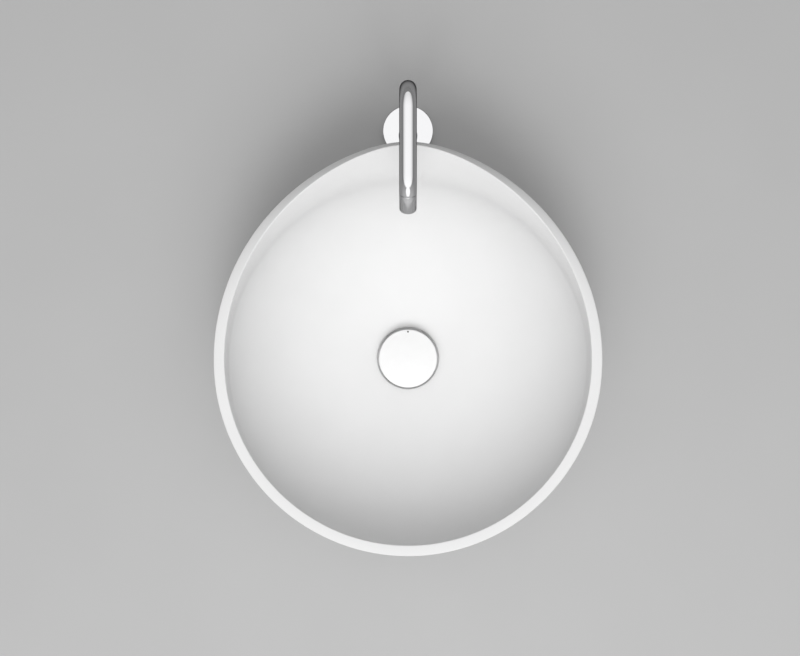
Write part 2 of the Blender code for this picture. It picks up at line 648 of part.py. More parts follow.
def build_click_works():
    """Cartridge in the spider, and the cap, carrier, seal, stem and latch that lift together."""
    outline = [(CARTRIDGE_COLLAR_RADIUS, CARTRIDGE_TOP),
               (CARTRIDGE_COLLAR_RADIUS, CARTRIDGE_COLLAR_UNDERSIDE),
               (CARTRIDGE_RADIUS, CARTRIDGE_COLLAR_UNDERSIDE), (CARTRIDGE_RADIUS, CARTRIDGE_END),
               (CARTRIDGE_DRAIN_RADIUS, CARTRIDGE_END), (CARTRIDGE_DRAIN_RADIUS, CHAMBER_BOTTOM),
               (CARTRIDGE_CHAMBER_RADIUS, CHAMBER_BOTTOM), (CARTRIDGE_CHAMBER_RADIUS, CHAMBER_TOP),
               (STEM_RADIUS + FIT_GAP, CHAMBER_TOP), (STEM_RADIUS + FIT_GAP, CARTRIDGE_TOP)]
    turned("click_cartridge", outline, white_plastic, steps=SMALL_STEPS)

    lift = make_axis("cap_lift_axis", (0, 0, 0))
    socket_top = CARRIER_END + STEM_SOCKET_DEPTH
    outline = [(0, CARRIER_TOP), (CARRIER_HUB_RADIUS, CARRIER_TOP), (CARRIER_HUB_RADIUS, CARRIER_LIP_TOP),
               (CARRIER_LIP_RADIUS, CARRIER_LIP_TOP), (CARRIER_LIP_RADIUS, CARRIER_LIP_UNDERSIDE),
               (CARRIER_BOSS_RADIUS, CARRIER_LIP_UNDERSIDE), (CARRIER_BOSS_RADIUS, CARRIER_END),
               (STEM_RADIUS + FIT_GAP, CARRIER_END), (STEM_RADIUS + FIT_GAP, socket_top), (0, socket_top)]
    turned("plug_carrier", outline, raw_brass, lift)
    half = PLUG_SEAL_THICKNESS / 2
    turned("plug_seal", round_section(PLUG_SEAL_RADIUS, PLUG_SEAL_HEIGHT, half),
           black_rubber, lift)
    turned("click_stem", disc(STEM_RADIUS, STEM_END, socket_top - FIT_GAP), stainless_steel, lift,
           steps=SMALL_STEPS)
    turned("latch_cam", ring(STEM_RADIUS + FIT_GAP, LATCH_RADIUS, LATCH_BOTTOM, LATCH_TOP), white_plastic,
           lift, steps=SMALL_STEPS)
    build_cap(lift)
    build_return_spring()


def build_cap(lift):
    """Domed cover with a small index dimple at its back edge."""
    edge_top = CAP_UNDERSIDE + CAP_EDGE_THICKNESS
    sphere = (CAP_RADIUS ** 2 + CAP_CROWN ** 2) / (2 * CAP_CROWN)
    edge_turn = atan2(CAP_RADIUS - CAP_EDGE_ROUNDING, sphere - CAP_CROWN)
    crown_centre = edge_top + CAP_CROWN - sphere
    dome = arc(0, crown_centre, sphere, pi / 2, pi / 2 - edge_turn, ARC_POINTS)
    dome[0] = (0, edge_top + CAP_CROWN)
    edge = [(CAP_RADIUS, edge_top - CAP_EDGE_BEVEL), (CAP_RADIUS, CAP_UNDERSIDE + CAP_EDGE_BEVEL),
            (CAP_RADIUS - CAP_EDGE_BEVEL, CAP_UNDERSIDE), (0, CAP_UNDERSIDE)]
    cap = turned("waste_cap", dome + edge, white_ceramic, lift, steps=FINE_STEPS)
    dimple_y = CAP_RADIUS - CAP_DIMPLE_INSET
    surface = crown_centre + sqrt(sphere ** 2 - dimple_y ** 2)
    dimple = rod_cutter("cap_dimple", CAP_DIMPLE_RADIUS, surface - CAP_DIMPLE_DEPTH, surface + OVERRUN,
                        y=dimple_y, sides=HOLE_STEPS)
    combine(cap, dimple, "DIFFERENCE")


def build_return_spring():
    """Coil between the cartridge's top and the carrier's boss, as one open wire."""
    low = CARTRIDGE_TOP + FIT_GAP + SPRING_WIRE_RADIUS
    high = CARRIER_END - FIT_GAP - SPRING_WIRE_RADIUS
    steps = SPRING_TURNS * SPRING_POINTS_PER_TURN
    points = []
    for i in range(steps + 1):
        turn = 2 * pi * i / SPRING_POINTS_PER_TURN
        height = low + (high - low) * i / steps
        points.append((SPRING_COIL_RADIUS * cos(turn), SPRING_COIL_RADIUS * sin(turn), height))
    wire = wire_curve("return_spring", points, SPRING_WIRE_RADIUS, SPRING_BEVEL_RESOLUTION)
    wire.use_fill_caps = True
    add_part("return_spring", wire, stainless_steel)


def wire_curve(name, points, radius, resolution):
    """Round bar along a list of points."""
    curve = bpy.data.curves.new(name, "CURVE")
    curve.dimensions = "3D"
    spline = curve.splines.new("POLY")
    spline.points.add(len(points) - 1)
    for place, point in zip(spline.points, points):
        place.co = (*point, 1)
    curve.bevel_depth = radius
    curve.bevel_resolution = resolution
    return curve


def build_plate():
    """Round plate on the counter, with the spout's boss and the control's socket."""
    radius = PLATE_RADIUS
    bevel = PLATE_EDGE_BEVEL
    hollow = VALVE_RADIUS + FIT_GAP
    groove_in = PLATE_GASKET_RADIUS - FIT_GAP
    groove_out = PLATE_GASKET_RADIUS + PLATE_GASKET_WIDTH + FIT_GAP
    groove_top = PLATE_GASKET_HEIGHT + FIT_GAP
    outline = [(0, PLATE_THICKNESS), (radius - bevel, PLATE_THICKNESS), (radius, PLATE_THICKNESS - bevel),
               (radius, 0), (groove_out, 0), (groove_out, groove_top), (groove_in, groove_top),
               (groove_in, 0), (hollow, 0), (hollow, PLATE_CEILING), (0, PLATE_CEILING)]
    centre = (0, PLATE_CENTRE_Y, 0)
    plate = turned("tap_escutcheon", outline, polished_chrome, location=centre, steps=FINE_STEPS)
    boss = rod_cutter("spout_boss", BOSS_RADIUS, PLATE_CEILING + FIT_GAP, BOSS_TOP, y=RISER_Y)
    combine(plate, boss, "UNION")
    bore = rod_cutter("spout_bore", SOCKET_RADIUS, PLATE_CEILING - OVERRUN, BOSS_TOP + OVERRUN, y=RISER_Y)
    combine(plate, bore, "DIFFERENCE")
    combine(plate, dome_socket_cutter(), "DIFFERENCE")

    gasket = ring(PLATE_GASKET_RADIUS, PLATE_GASKET_RADIUS + PLATE_GASKET_WIDTH, 0, PLATE_GASKET_HEIGHT)
    turned("escutcheon_gasket", gasket, black_rubber, location=centre, steps=FINE_STEPS)


def dome_socket_cutter():
    """Round socket in the plate that the lever's dome turns in, open at the plate's top."""
    reach = DOME_RADIUS + DOME_CLEARANCE
    rise = asin((PLATE_THICKNESS - PIVOT_HEIGHT) / reach)
    wall = arc(0, PIVOT_HEIGHT, reach, rise, 0, ARC_POINTS)
    above = PLATE_THICKNESS + OVERRUN
    below = PLATE_CEILING - OVERRUN
    outline = [(0, above), (wall[0][0], above)] + wall + [(reach, below), (0, below)]
    return turned_cutter("dome_socket", outline, (0, LEVER_Y, 0))


def build_valve_body():
    """Brass body through the counter, with its sockets, ports and the clamping pieces below."""
    body = turned("valve_body", disc(VALVE_RADIUS, VALVE_END, VALVE_TOP), raw_brass,
                  location=(0, PLATE_CENTRE_Y, 0), steps=FINE_STEPS)
    above = VALVE_TOP + OVERRUN
    combine(body, rod_cutter("spout_socket", SOCKET_RADIUS, SOCKET_END, above, y=RISER_Y), "DIFFERENCE")
    combine(body, rod_cutter("cartridge_pocket", POCKET_RADIUS, POCKET_FLOOR, above, y=LEVER_Y), "DIFFERENCE")

    inlet_top = POCKET_FLOOR - INLET_TOP_BELOW_POCKET
    for side, word in ((-1, "left"), (1, "right")):
        bore = rod_cutter(f"{word}_inlet_bore", INLET_BORE_RADIUS, VALVE_END - OVERRUN, inlet_top,
                          x=side * INLET_SPACING / 2, y=LEVER_Y, sides=SMALL_STEPS)
        combine(body, bore, "DIFFERENCE")
        port = rod_cutter(f"{word}_port", PORT_RADIUS, inlet_top - OVERRUN, POCKET_FLOOR + OVERRUN,
                          x=side * PORT_OFFSET, y=LEVER_Y, sides=HOLE_STEPS)
        combine(body, port, "DIFFERENCE")
    outlet_y = LEVER_Y - PORT_OFFSET
    drill_height = POCKET_FLOOR - CROSS_DRILL_BELOW_POCKET
    port = rod_cutter("outlet_port", PORT_RADIUS, drill_height, POCKET_FLOOR + OVERRUN, y=outlet_y,
                      sides=HOLE_STEPS)
    combine(body, port, "DIFFERENCE")
    length = outlet_y + PORT_RADIUS - RISER_Y
    drill = add_cutter("cross_drill", rod_mesh("cross_drill", CROSS_DRILL_RADIUS, length, HOLE_STEPS, "Y"),
                       (0, RISER_Y + length / 2, drill_height))
    combine(body, drill, "DIFFERENCE")

    inner = VALVE_RADIUS + FIT_GAP
    centre = (0, PLATE_CENTRE_Y, 0)
    rubber_bottom = COUNTER_UNDERSIDE - TAP_RUBBER_THICKNESS
    turned("tap_rubber_washer", ring(inner, TAP_WASHER_RADIUS, rubber_bottom, COUNTER_UNDERSIDE),
           black_rubber, location=centre)
    steel_top = rubber_bottom - FIT_GAP
    steel_bottom = steel_top - TAP_STEEL_THICKNESS
    turned("tap_steel_washer", ring(inner, TAP_WASHER_RADIUS, steel_bottom, steel_top), stainless_steel,
           location=centre)
    nut_top = steel_bottom - FIT_GAP
    hex_nut("tap_ring_nut", inner, TAP_NUT_CORNER_RADIUS, nut_top, TAP_NUT_HEIGHT, PLATE_CENTRE_Y)

    thread = INLET_BORE_RADIUS - FIT_GAP
    water = thread * INLET_BORE_SHARE
    hex_top = VALVE_END - FIT_GAP
    tail_top = hex_top - INLET_HEX_HEIGHT
    for side, word in ((-1, "hot"), (1, "cold")):
        name = f"{word}_inlet"
        outline = [(thread, VALVE_END + INLET_THREAD_LENGTH), (thread, hex_top),
                   (INLET_HEX_RADIUS, hex_top), (INLET_HEX_RADIUS, tail_top), (INLET_TAIL_RADIUS, tail_top),
                   (INLET_TAIL_RADIUS, tail_top - INLET_TAIL_LENGTH), (water, tail_top - INLET_TAIL_LENGTH),
                   (water, VALVE_END + INLET_THREAD_LENGTH)]
        turned(name, outline, raw_brass, location=(side * INLET_SPACING / 2, LEVER_Y, 0), steps=SMALL_STEPS)


def spout_path():
    """Centre line of the bent tube in the YZ plane, from its foot to the nozzle's joint."""
    bend_start = SPOUT_TOP_HEIGHT - BACK_BEND_RADIUS
    points = [(0, 0, TUBE_FOOT)]
    count = int(round(pi / 2 / BEND_STEP))
    for i in range(count + 1):
        turn = pi / 2 * i / count
        points.append((0, -BACK_BEND_RADIUS * (1 - cos(turn)), bend_start + BACK_BEND_RADIUS * sin(turn)))
    lead = (-NOZZLE_JOINT_LEAD * cos(FRONT_BEND_TURN), -NOZZLE_JOINT_LEAD * sin(FRONT_BEND_TURN))
    run_end = -NOZZLE_JOINT_REACH - lead[0] + FRONT_BEND_RADIUS * sin(FRONT_BEND_TURN)
    count = int(round(FRONT_BEND_TURN / BEND_STEP)) + 1
    for i in range(count + 1):
        turn = FRONT_BEND_TURN * i / count
        points.append((0, run_end - FRONT_BEND_RADIUS * sin(turn),
                       SPOUT_TOP_HEIGHT - FRONT_BEND_RADIUS * (1 - cos(turn))))
    points.append((0, points[-1][1] + lead[0], points[-1][2] + lead[1]))
    return points


def nozzle_path(start):
    """Centre line of the angled nozzle, a short bend and a straight end."""
    along = (-cos(FRONT_BEND_TURN), -sin(FRONT_BEND_TURN))
    points = [(0, start[1] + along[0] * FIT_GAP, start[2] + along[1] * FIT_GAP)]
    y = points[0][1] + along[0] * NOZZLE_JOINT_LEAD
    z = points[0][2] + along[1] * NOZZLE_JOINT_LEAD
    count = int(round((NOZZLE_DROP - FRONT_BEND_TURN) / BEND_STEP)) + 1
    for i in range(count + 1):
        turn = FRONT_BEND_TURN + (NOZZLE_DROP - FRONT_BEND_TURN) * i / count
        points.append((0, y - NOZZLE_BEND_RADIUS * (sin(turn) - sin(FRONT_BEND_TURN)),
                       z - NOZZLE_BEND_RADIUS * (cos(FRONT_BEND_TURN) - cos(turn))))
    bend_end = points[-1]
    points.append((0, bend_end[1] - NOZZLE_STRAIGHT * cos(NOZZLE_DROP),
                   bend_end[2] - NOZZLE_STRAIGHT * sin(NOZZLE_DROP)))
    return points


def pipe(name, points, radius, wall, parent):
    """Open bent tube with a wall of its own thickness."""
    curve = wire_curve(name, points, radius, TUBE_BEVEL_RESOLUTION)
    bar = bpy.data.objects.new(f"{name}_curve", curve)
    parts.objects.link(bar)
    graph = bpy.context.evaluated_depsgraph_get()
    mesh = bpy.data.meshes.new_from_object(bar.evaluated_get(graph))
    bpy.data.objects.remove(bar, do_unlink=True)
    mesh.shade_smooth()
    piece = add_part(name, mesh, polished_chrome, parent)
    shell = piece.modifiers.new("wall", "SOLIDIFY")
    shell.thickness = wall
    shell.offset = -1
    shell.use_even_offset = True
    return piece


def build_spout(swivel):
    """Bent tube with its nozzle, and the aerator in the nozzle's end."""
    path = spout_path()
    pipe("spout_tube", path, TUBE_RADIUS, TUBE_WALL, swivel)
    end_path = nozzle_path(path[-1])
    pipe("outlet_nozzle", end_path, NOZZLE_RADIUS, NOZZLE_WALL, swivel)

    bore = NOZZLE_RADIUS - NOZZLE_WALL
    outer = bore - FIT_GAP
    end = end_path[-1]
    rim = outer - AERATOR_RIM
    low = AERATOR_RECESS
    top = low + AERATOR_HEIGHT
    plate_top = low + AERATOR_PLATE
    tilt = NOZZLE_DROP - pi / 2
    outline = [(0, plate_top), (rim, plate_top), (rim, top), (outer, top), (outer, low), (0, low)]
    insert = turned("aerator_insert", outline, white_plastic, swivel, end, SMALL_STEPS)
    insert.rotation_euler.x = tilt
    for i in range(AERATOR_HOLE_COUNT):
        turn = 2 * pi * i / AERATOR_HOLE_COUNT
        reach = rim * AERATOR_HOLE_RING_SHARE
        mesh = rod_mesh("aerator_hole", AERATOR_HOLE_RADIUS, AERATOR_HEIGHT, HOLE_STEPS)
        hole = add_cutter(f"aerator_hole_{i + 1}", mesh)
        hole.parent = insert
        hole.location = (reach * cos(turn), reach * sin(turn), low)
        combine(insert, hole, "DIFFERENCE")
    washer_low = top + FIT_GAP
    washer = turned("aerator_washer", ring(outer - AERATOR_WASHER_WIDTH, outer, washer_low,
                                           washer_low + AERATOR_WASHER_HEIGHT), black_rubber, swivel, end,
                    SMALL_STEPS)
    washer.rotation_euler.x = tilt


def build_swivel(swivel):
    """Sleeve in the tube's foot with its O-rings, the washer under its flange and the collar round it."""
    groove = SLEEVE_RADIUS - ORING_THICKNESS - FIT_GAP
    half = ORING_GROOVE_WIDTH / 2
    outline = [(SLEEVE_RADIUS, TUBE_FOOT + SLEEVE_IN_TUBE), (SLEEVE_RADIUS, SLEEVE_FLANGE_TOP),
               (SLEEVE_FLANGE_RADIUS, SLEEVE_FLANGE_TOP), (SLEEVE_FLANGE_RADIUS, SLEEVE_FLANGE_BOTTOM),
               (SLEEVE_RADIUS, SLEEVE_FLANGE_BOTTOM)]
    heights = [-ORING_UPPER_BELOW_COUNTER_TOP - ORING_SPACING * i for i in range(2)]
    for height in heights:
        outline += [(SLEEVE_RADIUS, height + half), (groove, height + half), (groove, height - half),
                    (SLEEVE_RADIUS, height - half)]
    outline += [(SLEEVE_RADIUS, SLEEVE_END), (SLEEVE_BORE_RADIUS, SLEEVE_END),
                (SLEEVE_BORE_RADIUS, TUBE_FOOT + SLEEVE_IN_TUBE)]
    turned("swivel_sleeve", outline, raw_brass, swivel, steps=SMALL_STEPS)

    middle = groove + FIT_GAP / 2 + ORING_THICKNESS / 2
    for height, word in zip(heights, ("upper", "lower")):
        turned(f"sleeve_oring_{word}", round_section(middle, height, ORING_THICKNESS / 2),
               black_rubber, swivel)

    riser = (0, RISER_Y, 0)
    washer = ring(SOCKET_RADIUS, SLEEVE_FLANGE_RADIUS, SWIVEL_WASHER_BOTTOM,
                  SWIVEL_WASHER_BOTTOM + SWIVEL_WASHER_THICKNESS)
    turned("spout_bearing_washer", washer, white_plastic, location=riser)

    low = PLATE_THICKNESS + FIT_GAP
    top = low + COLLAR_HEIGHT
    inner = BOSS_RADIUS + FIT_GAP
    neck = TUBE_RADIUS + FIT_GAP
    rounding = COLLAR_TOP_ROUNDING
    crown = arc(COLLAR_RADIUS - rounding, top - rounding, rounding, pi / 2, 0, ARC_POINTS)
    outline = crown + [(COLLAR_RADIUS, low), (inner, low), (inner, TUBE_FOOT), (neck, TUBE_FOOT),
                       (neck, top)]
    turned("spout_collar", outline, polished_chrome, location=riser)


def build_cartridge(turn_axis):
    """Joystick cartridge in its pocket: housing, seal, ceramic discs and the turning guide."""
    place = (0, LEVER_Y, 0)
    bore = GUIDE_RADIUS + FIT_GAP
    chamber = HOUSING_RADIUS - HOUSING_WALL
    outline = [(HOUSING_RADIUS, HOUSING_TOP), (HOUSING_RADIUS, HOUSING_END), (chamber, HOUSING_END),
               (chamber, HOUSING_CEILING), (bore, HOUSING_CEILING), (bore, HOUSING_TOP)]
    turned("cartridge_housing", outline, white_plastic, location=place)

    for name, low, high, material in (
            ("disc_seal", POCKET_FLOOR + FIT_GAP, DISC_SEAL_TOP, black_rubber),
            ("fixed_ceramic_disc", DISC_SEAL_TOP + FIT_GAP, FIXED_DISC_TOP, grey_alumina)):
        plate = turned(name, disc(FIXED_DISC_RADIUS, low, high), material, location=place)
        for i, (x, y) in enumerate(((-PORT_OFFSET, 0), (PORT_OFFSET, 0), (0, -PORT_OFFSET))):
            port = rod_cutter(f"{name}_port_{i + 1}", PORT_RADIUS, low - OVERRUN, high + OVERRUN,
                              x=x, y=LEVER_Y + y, sides=HOLE_STEPS)
            combine(plate, port, "DIFFERENCE")

    top = PIVOT_HEIGHT + GUIDE_ABOVE_PIVOT
    outline = [(0, top), (GUIDE_RADIUS, top), (GUIDE_RADIUS, GUIDE_FLANGE_TOP),
               (GUIDE_FLANGE_RADIUS, GUIDE_FLANGE_TOP), (GUIDE_FLANGE_RADIUS, GUIDE_FLANGE_BOTTOM),
               (0, GUIDE_FLANGE_BOTTOM)]
    guide = turned("lever_guide", outline, white_plastic, turn_axis)
    height = top - GUIDE_FLANGE_BOTTOM + 2 * OVERRUN
    middle_y = (GUIDE_SLOT_BACK - GUIDE_SLOT_FRONT) / 2
    slot = box_cutter("guide_slot", (GUIDE_SLOT_WIDTH, GUIDE_SLOT_BACK + GUIDE_SLOT_FRONT, height),
                      (0, LEVER_Y + middle_y, (top + GUIDE_FLANGE_BOTTOM) / 2))
    combine(guide, slot, "DIFFERENCE")
    pin_hole = add_cutter("guide_pin_hole", rod_mesh("guide_pin_hole", PIVOT_PIN_RADIUS + FIT_GAP,
                                                     2 * GUIDE_RADIUS + OVERRUN, HOLE_STEPS, "X"),
                          (0, LEVER_Y, PIVOT_HEIGHT))
    combine(guide, pin_hole, "DIFFERENCE")
    pin = add_part("pivot_pin", rod_mesh("pivot_pin", PIVOT_PIN_RADIUS, PIVOT_PIN_LENGTH, HOLE_STEPS, "X"),
                   stainless_steel, turn_axis, (0, 0, PIVOT_HEIGHT))
    pin.data.shade_smooth()

    slide_axis = make_axis("disc_slide_axis", (0, 0, 0), turn_axis)
    low = MOVING_DISC_TOP - MOVING_DISC_THICKNESS
    pocket = MOVING_DISC_TOP - MOVING_DISC_POCKET_DEPTH
    outline = [(0, pocket), (MOVING_DISC_POCKET_RADIUS, pocket), (MOVING_DISC_POCKET_RADIUS, MOVING_DISC_TOP),
               (MOVING_DISC_RADIUS, MOVING_DISC_TOP), (MOVING_DISC_RADIUS, low), (0, low)]
    turned("moving_ceramic_disc", outline, grey_alumina, slide_axis, steps=SMALL_STEPS)


def build_control(turn_axis):
    """Spindle, dome and pin that tilt together about the guide's pivot pin."""
    tilt_axis = make_axis("lever_tilt_axis", (0, 0, PIVOT_HEIGHT), turn_axis)
    ball = arc(0, -SPINDLE_BALL_DEPTH, SPINDLE_BALL_RADIUS, SPINDLE_BALL_SHOULDER, -pi / 2, ARC_POINTS)
    ball[-1] = (0, -SPINDLE_BALL_DEPTH - SPINDLE_BALL_RADIUS)
    neck_top = -SPINDLE_BELOW_PIVOT - (SPINDLE_RADIUS - SPINDLE_NECK_RADIUS) / 2
    outline = [(0, SPINDLE_ABOVE_PIVOT), (SPINDLE_RADIUS, SPINDLE_ABOVE_PIVOT),
               (SPINDLE_RADIUS, -SPINDLE_BELOW_PIVOT), (SPINDLE_NECK_RADIUS, neck_top)]
    spindle = turned("lever_spindle", outline + ball, stainless_steel, tilt_axis, steps=SMALL_STEPS)
    hole = add_cutter("spindle_pin_hole", rod_mesh("spindle_pin_hole", PIVOT_PIN_RADIUS + FIT_GAP,
                                                   2 * SPINDLE_RADIUS + OVERRUN, HOLE_STEPS, "X"),
                      (0, LEVER_Y, PIVOT_HEIGHT))
    combine(spindle, hole, "DIFFERENCE")

    hole_radius = SPINDLE_RADIUS + FIT_GAP
    hole_turn = atan2(hole_radius, DOME_RADIUS)
    outer = arc(0, 0, DOME_RADIUS, pi / 2 - hole_turn, pi / 2 - DOME_REACH, ARC_POINTS)
    inner = arc(0, 0, DOME_RADIUS - DOME_WALL, pi / 2 - DOME_REACH, pi / 2 - hole_turn, ARC_POINTS)
    inner[-1] = (outer[0][0], inner[-1][1])
    turned("lever_dome", outer + inner, polished_chrome, tilt_axis, steps=SMALL_STEPS)

    low = DOME_RADIUS + FIT_GAP
    top = low + LEVER_LENGTH
    socket_top = SPINDLE_ABOVE_PIVOT + FIT_GAP
    rounding = LEVER_END_ROUNDING
    crown = arc(LEVER_RADIUS - rounding, top - rounding, rounding, pi / 2, 0, ARC_POINTS)
    outline = [(0, top)] + crown + [(LEVER_RADIUS, low), (hole_radius, low), (hole_radius, socket_top),
                                    (0, socket_top)]
    turned("lever_pin", outline, polished_chrome, tilt_axis, steps=SMALL_STEPS)


build_basin()
build_waste_body()
build_click_works()
build_plate()
build_valve_body()
spout_axis = make_axis("spout_swivel_axis", (0, RISER_Y, 0))
build_spout(spout_axis)
build_swivel(spout_axis)
lever_axis = make_axis("lever_turn_axis", (0, LEVER_Y, 0))
build_cartridge(lever_axis)
build_control(lever_axis)
bpy.context.view_layer.update()
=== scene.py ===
from math import asin, atan2, cos, hypot, pi, radians, sin, sqrt

import bpy
import numpy as np
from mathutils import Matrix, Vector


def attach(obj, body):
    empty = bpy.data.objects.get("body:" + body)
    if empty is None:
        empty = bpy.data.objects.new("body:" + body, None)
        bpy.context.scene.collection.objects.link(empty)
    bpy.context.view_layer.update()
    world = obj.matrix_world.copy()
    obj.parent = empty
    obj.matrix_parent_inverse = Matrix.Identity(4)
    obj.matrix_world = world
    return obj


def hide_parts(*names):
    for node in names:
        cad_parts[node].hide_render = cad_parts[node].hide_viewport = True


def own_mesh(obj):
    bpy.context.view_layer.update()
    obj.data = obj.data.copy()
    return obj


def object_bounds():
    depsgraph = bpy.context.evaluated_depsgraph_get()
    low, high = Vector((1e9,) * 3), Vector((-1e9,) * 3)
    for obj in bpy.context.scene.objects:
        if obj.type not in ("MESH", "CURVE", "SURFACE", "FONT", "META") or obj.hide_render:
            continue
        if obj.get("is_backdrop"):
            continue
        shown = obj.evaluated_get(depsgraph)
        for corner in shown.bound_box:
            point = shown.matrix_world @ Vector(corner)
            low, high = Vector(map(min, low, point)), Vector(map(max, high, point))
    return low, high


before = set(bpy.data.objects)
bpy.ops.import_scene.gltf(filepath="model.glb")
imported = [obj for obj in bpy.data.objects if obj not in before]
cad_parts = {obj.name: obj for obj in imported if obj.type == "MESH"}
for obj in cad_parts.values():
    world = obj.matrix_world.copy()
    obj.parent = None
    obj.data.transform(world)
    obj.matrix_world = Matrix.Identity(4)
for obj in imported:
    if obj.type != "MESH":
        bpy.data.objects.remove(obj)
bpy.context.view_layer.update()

# Camera: straight above the bowl, with the user's side at the bottom of the picture.
# It stands a little over a metre up, which gives the rim and the spout their perspective,
# and the shift does no more than frame the basin a little below the lens axis.
bpy.context.scene.view_settings.view_transform = "Standard"
CAMERA_PLACE = (0, 0.0663, 1.14)
LENS = 41.23
SHIFT_RIGHT = -0.01
SHIFT_UP = -0.0309
camera = bpy.data.objects.new("camera", bpy.data.cameras.new("camera"))
camera.location = CAMERA_PLACE
camera.data.lens = LENS
camera.data.shift_x = SHIFT_RIGHT
camera.data.shift_y = SHIFT_UP
bpy.context.scene.collection.objects.link(camera)
bpy.context.scene.camera = camera


# Counter top: the plain pale surface that the set stands on, a matt sheet so wide that its edge makes
# a far horizon when it is seen from the side.
# It isn't part of the set, so it is declared as stage.
def linear(colour):
    """A colour written as sRGB hex, as the linear values that a shader takes."""
    channels = [int(colour[i:i + 2], 16) / 255 for i in (1, 3, 5)]
    return (*[c / 12.92 if c <= 0.04045 else ((c + 0.055) / 1.055) ** 2.4 for c in channels], 1)


def new_finish(name, colour, roughness, metallic=0):
    """A material with its shader set to one colour, ready for the nodes that vary it."""
    finish = bpy.data.materials.new(name)
    finish.use_nodes = True
    shader = finish.node_tree.nodes["Principled BSDF"]
    shader.inputs["Base Color"].default_value = linear(colour)
    shader.inputs["Roughness"].default_value = roughness
    shader.inputs["Metallic"].default_value = metallic
    return finish


def add_node(finish, kind, inputs, output=0, **settings):
    """Adds a node with its settings, feeds its inputs with values or links, and returns an output."""
    node = finish.node_tree.nodes.new(kind)
    for name, value in settings.items():
        setattr(node, name, value)
    for name, value in inputs.items():
        if isinstance(value, bpy.types.NodeSocket):
            finish.node_tree.links.new(value, node.inputs[name])
        else:
            node.inputs[name].default_value = value
    return node.outputs[output]


def feed(finish, **links):
    """Links outputs to the shader's own inputs, named with _ for a space."""
    shader = finish.node_tree.nodes["Principled BSDF"]
    for name, output in links.items():
        finish.node_tree.links.new(output, shader.inputs[name.replace("_", " ")])


def clear_selection():
    """Leaves nothing selected, so that the next operator acts on its own piece."""
    bpy.ops.object.select_all(action="DESELECT")


COUNTER_LEVEL = -0.0002
COUNTER_SIZE = 24
clear_selection()
bpy.ops.mesh.primitive_plane_add(size=COUNTER_SIZE)
counter = bpy.context.object
counter.name = "counter_top"
bpy.ops.object.mode_set(mode="EDIT")
bpy.ops.transform.translate(value=(0, 0, COUNTER_LEVEL))
bpy.ops.object.mode_set(mode="OBJECT")
# Matt painted board: an even pale grey, with a faint mottle of about 170 mm
board = new_finish("matt_painted_board", "#B9B9B9", 0.9)
board_place = add_node(board, "ShaderNodeTexCoord", {}, "Object")
mottle = add_node(board, "ShaderNodeTexNoise", {"Vector": board_place, "Scale": 6, "Detail": 2})
tone = add_node(board, "ShaderNodeMix", {0: mottle, 6: linear("#B7B7B7"), 7: linear("#BBBBBB")}, 2,
                data_type="RGBA")
feed(board, Base_Color=tone)
counter.data.materials.append(board)
counter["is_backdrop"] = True


# Light: a soft lamp high over the user's side, a wider and lower one in front, and a pale room.
# Polished surfaces see a bright ceiling panel that reaches from a little in front of overhead to far
# behind, a small window at the panel's front edge, dim side walls and a front wall that is paler.
LAMP_DISTANCE = 2.6
for name, height_angle, power, across, along in (
        ("high_lamp", radians(65), 15.4, 1.0, 1.0),
        ("front_lamp", radians(51), 18.4, 2.5, 1.15)):
    lamp = bpy.data.objects.new(name, bpy.data.lights.new(name, "AREA"))
    lamp.data.shape = "ELLIPSE"
    lamp.data.size = across
    lamp.data.size_y = along
    lamp.data.energy = power
    lamp.location = (0, -LAMP_DISTANCE * cos(height_angle), LAMP_DISTANCE * sin(height_angle))
    lamp.rotation_euler = (pi / 2 - height_angle, 0, 0)
    lamp.visible_glossy = False
    bpy.context.scene.collection.objects.link(lamp)

ROOM_DARK = 0.13
ROOM_BRIGHT = 1.22
ROOM_BRIGHT_SPREAD = radians(66)
ROOM_LIGHT_HEIGHT = radians(80)
BACKDROP_GLOW = 0.6
SIDE_WALL_GLOW = 0.34
FRONT_WALL_GLOW = 0.98
PANEL_FRONT_GLOW = 1.82
PANEL_BACK_GLOW = 1.28
PANEL_SIDE_SHARE = 0.35
PANEL_SIDE_FADE = {1: 0.3, 2: 2.6}
PANEL_BACK_FADE = {1: -0.5, 2: 1.5}
# Middle, half width and half length of each oval
PANEL = (1.0, 2.42, 1.5)
WINDOW = (-0.8, 0.62, 0.36)
OVAL_EDGE = 0.03
HORIZON = 0.001
room = bpy.data.worlds.new("pale_room")
bpy.context.scene.world = room
room.use_nodes = True
direction = add_node(room, "ShaderNodeTexCoord", {}, "Generated")
toward = room.node_tree.nodes.new("ShaderNodeSeparateXYZ")
room.node_tree.links.new(direction, toward.inputs[0])
# Both ovals are measured on a flat ceiling one unit up, from the point overhead
height = add_node(room, "ShaderNodeMath", {0: toward.outputs["Z"], 1: HORIZON}, operation="MAXIMUM")
aside = add_node(room, "ShaderNodeMath", {0: toward.outputs["X"], 1: height}, operation="DIVIDE")
aside = add_node(room, "ShaderNodeMath", {0: aside}, operation="ABSOLUTE")
along = add_node(room, "ShaderNodeMath", {0: toward.outputs["Y"], 1: height}, operation="DIVIDE")
place = add_node(room, "ShaderNodeCombineXYZ", {"X": aside, "Y": along})


def ceiling_oval(middle, half_width, half_length):
    """1 inside an oval on the ceiling and 0 outside it, with a soft edge."""
    placed = add_node(room, "ShaderNodeMapping", {"Vector": place, "Location": (0, -middle / half_length, 0),
                                                  "Scale": (1 / half_width, 1 / half_length, 0)})
    reach = add_node(room, "ShaderNodeVectorMath", {0: placed}, "Value", operation="LENGTH")
    return add_node(room, "ShaderNodeMapRange", {0: reach, 1: 1 + OVAL_EDGE, 2: 1 - OVAL_EDGE})


